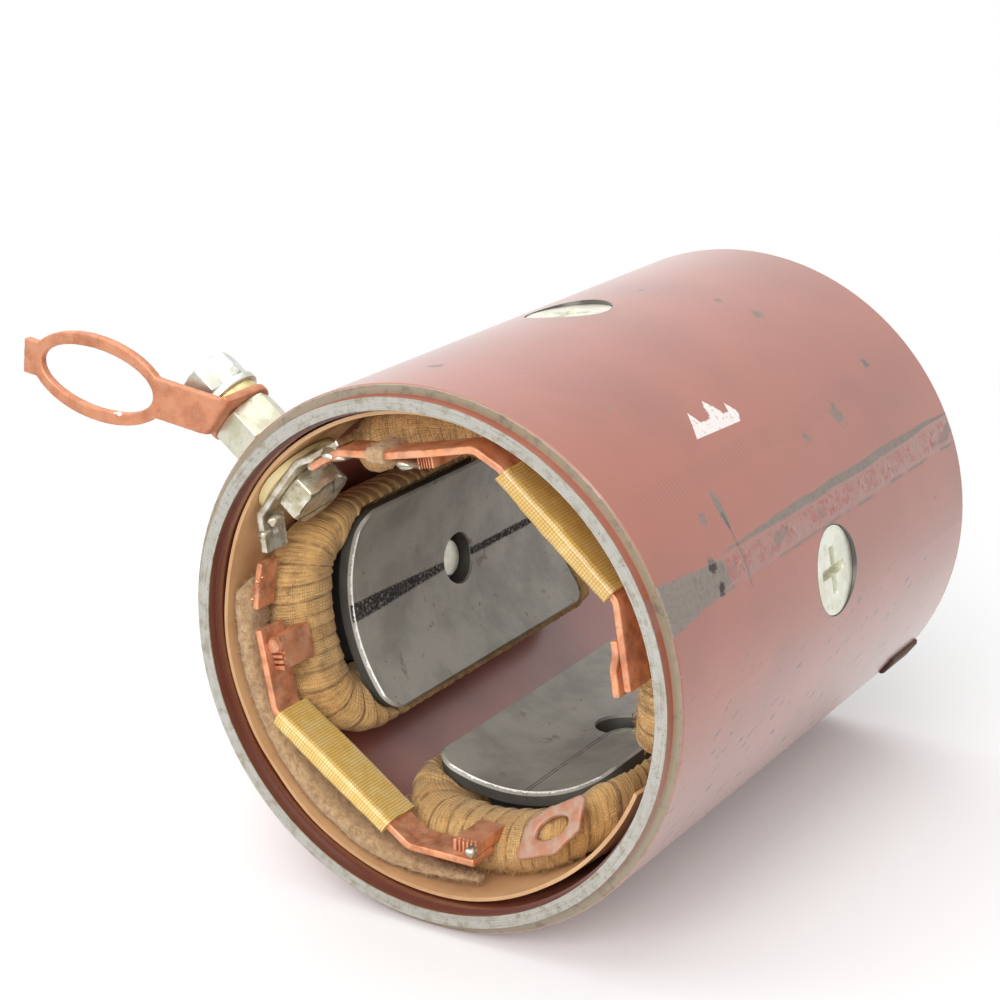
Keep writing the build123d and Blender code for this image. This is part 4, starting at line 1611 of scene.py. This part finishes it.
        def place(along: float, round_share: float) -> Vector:
            """Point on the felt.

            Args:
                along: Share of the way along.
                round_share: Share of the way round the section.

            Returns:
                The point.
            """
            turn = math.tau * round_share
            angle = self.felt_from + (self.felt_to - self.felt_from) * along
            thick = 0.25 + 0.75 * (ease(0.0, 0.03, along) * ease(0.0, 0.3, 1 - along))
            wide = signed_power(math.cos(turn), 0.75) * self.felt_half_width * thick
            high = signed_power(math.sin(turn), 0.75) * self.felt_half_height * thick
            spot = polar(self.felt_r + high, angle, self.felt_y + wide)
            tufts = 0.28 * grain(spot, 2.6, 2.0) + 0.16 * grain(spot, 1.0, 6.0) + 0.1 * grain(spot, 0.5, 9.0)
            radius = self.felt_r + high + tufts * math.sin(turn)
            return polar(radius, angle, self.felt_y + wide + tufts * math.cos(turn))

        piece = Piece("felt_lead_fuzz")
        piece.lay_grid(*self.felt_grid, place)
        piece.close_ends()
        piece.face_outwards()
        piece.add_hairs(self.felt_fuzz)
        piece.finish(FELT, ["felt_lead"], corner=70.0)

    def solder(self) -> None:
        """Drop solder on the joints of the upper and lower jumpers."""
        piece = Piece("solder_drops")
        for number, (spot, reach, lumps) in enumerate(self.drops, start=1):
            piece.add_blob(polar(*spot), reach, float(number), lumps)
        piece.finish(SOLDER, corner=80.0)

    def crumbs(self) -> None:
        """Scatter copper crumbs by the felt lead's tab, and set the rivet on the left winding end."""
        piece = Piece("copper_crumbs")
        draw = random.Random(31)
        radius, angle, along = self.crumbs_at
        for number in range(self.crumb_count):
            spot = polar(
                radius + draw.uniform(-0.5, 0.3),
                angle + draw.uniform(-2.5, 3.5),
                along + draw.uniform(-0.6, 1.5),
            )
            size = draw.uniform(0.15, 0.5)
            piece.add_blob(spot, (size, size * 1.3, size * 0.8), float(number), 0.6, 1)
        bmesh.ops.create_cone(
            piece.mesh, cap_ends=True, segments=32, radius1=self.rivet_r[0], radius2=self.rivet_r[1],
            depth=self.rivet_height, matrix=placed(polar(*self.rivet_at), Vector((0.0, -1.0, 0.0)), "Z"),
        )
        piece.finish(COPPER)


@dataclass
class Liner:
    """Tan pressboard round the inside of the tube's front."""

    wall_r: float = 51.8
    thickness: float = 0.8
    front: float = 4.2
    rear: float = 26.0
    start: float = -10.0
    sweep: float = 350.0
    lift: float = 1.5
    lift_angles: Pair = (272.0, 305.0)
    wall_gap: float = 0.1
    grid: tuple[int, int] = (320, 10)

    def build(self) -> None:
        """Roll the board, lifted a little off the wall low on the right."""
        piece = Piece("front_liner_board")
        piece.lay_grid(*self.grid, self.place)
        piece.face_outwards()
        bmesh.ops.solidify(piece.mesh, geom=list(piece.mesh.faces), thickness=self.thickness)
        piece.finish(BOARD, ["front_liner"], corner=45.0)

    def place(self, round_share: float, along_share: float) -> Vector:
        """Point on the board's outer face.

        Args:
            round_share: Share of the way round.
            along_share: Share of the way back.

        Returns:
            The point.
        """
        angle = self.start + self.sweep * round_share
        lift = self.lift * ease(*self.lift_angles, angle) * (1 - along_share)
        wave = 0.12 * math.sin(math.radians(angle * 7))
        front = self.front + 0.3 * math.sin(math.radians(angle * 3))
        front += 0.25 * grain(polar(9.0, angle, 0), 2.0, 7.0)
        along = front + (self.rear - front) * along_share
        return polar(self.wall_r - lift - (self.wall_gap + wave) * (1 - along_share), angle, along)


@dataclass
class Terminal:
    """Stud, nuts, washers, bush, strap and link of the insulated terminal."""

    angle: float = 143.0
    strap_r: float = 46.3
    voxel: float = 0.3
    # Angle from the stud, distance behind the front rim and half size of each drop of solder.
    drops: tuple[Spot, ...] = ((-13.0, 8.6, 1.5), (9.5, 9.0, 1.3), (13.5, 8.2, 1.6), (16.5, 9.5, 1.3))

    def build(self) -> None:
        """Round and dress the terminal's pieces."""
        for node, finish, width in (
            ("terminal_stud", STUD_ZINC, 0.3),
            ("terminal_lower_nut", NUT_ZINC, 0.22),
            ("terminal_top_nut", ZINC, 0.22),
            ("terminal_flat_washer", ZINC, 0.25),
            ("terminal_spring_washer", SPRING, 0.2),
            ("terminal_bush", FIBRE, 0.2),
            ("fibre_washer", FIBRE, 0.2),
        ):
            wear(node, "worn", finish, width)
        for node, finish, rounds in (("terminal_strap", TIN, 4), ("terminal_link", LINK_COPPER, 9)):
            piece = Piece(f"{node}_worn")
            piece.copy_node(node)
            piece.soften(self.voxel, rounds)
            piece.finish(finish, [node], corner=70.0)
        self.solder()

    def solder(self) -> None:
        """Run solder along the strap beside the stud's head."""
        piece = Piece("strap_solder")
        for offset, along, size in self.drops:
            middle = polar(self.strap_r, self.angle + offset, along)
            piece.add_blob(middle, (size, size * 1.8, size), offset)
        piece.finish(TIN, corner=80.0)


def main() -> None:
    """Build every sub-assembly in order."""
    logging.basicConfig(level=logging.INFO, format="%(message)s")
    Studio().build()
    Yoke().build()
    for number, side in enumerate(Side):
        FieldCoil(side, seed=number + 1.5).build()
    Liner().build()
    Leads().build()
    Terminal().build()


if __name__ == "__main__":
    main()
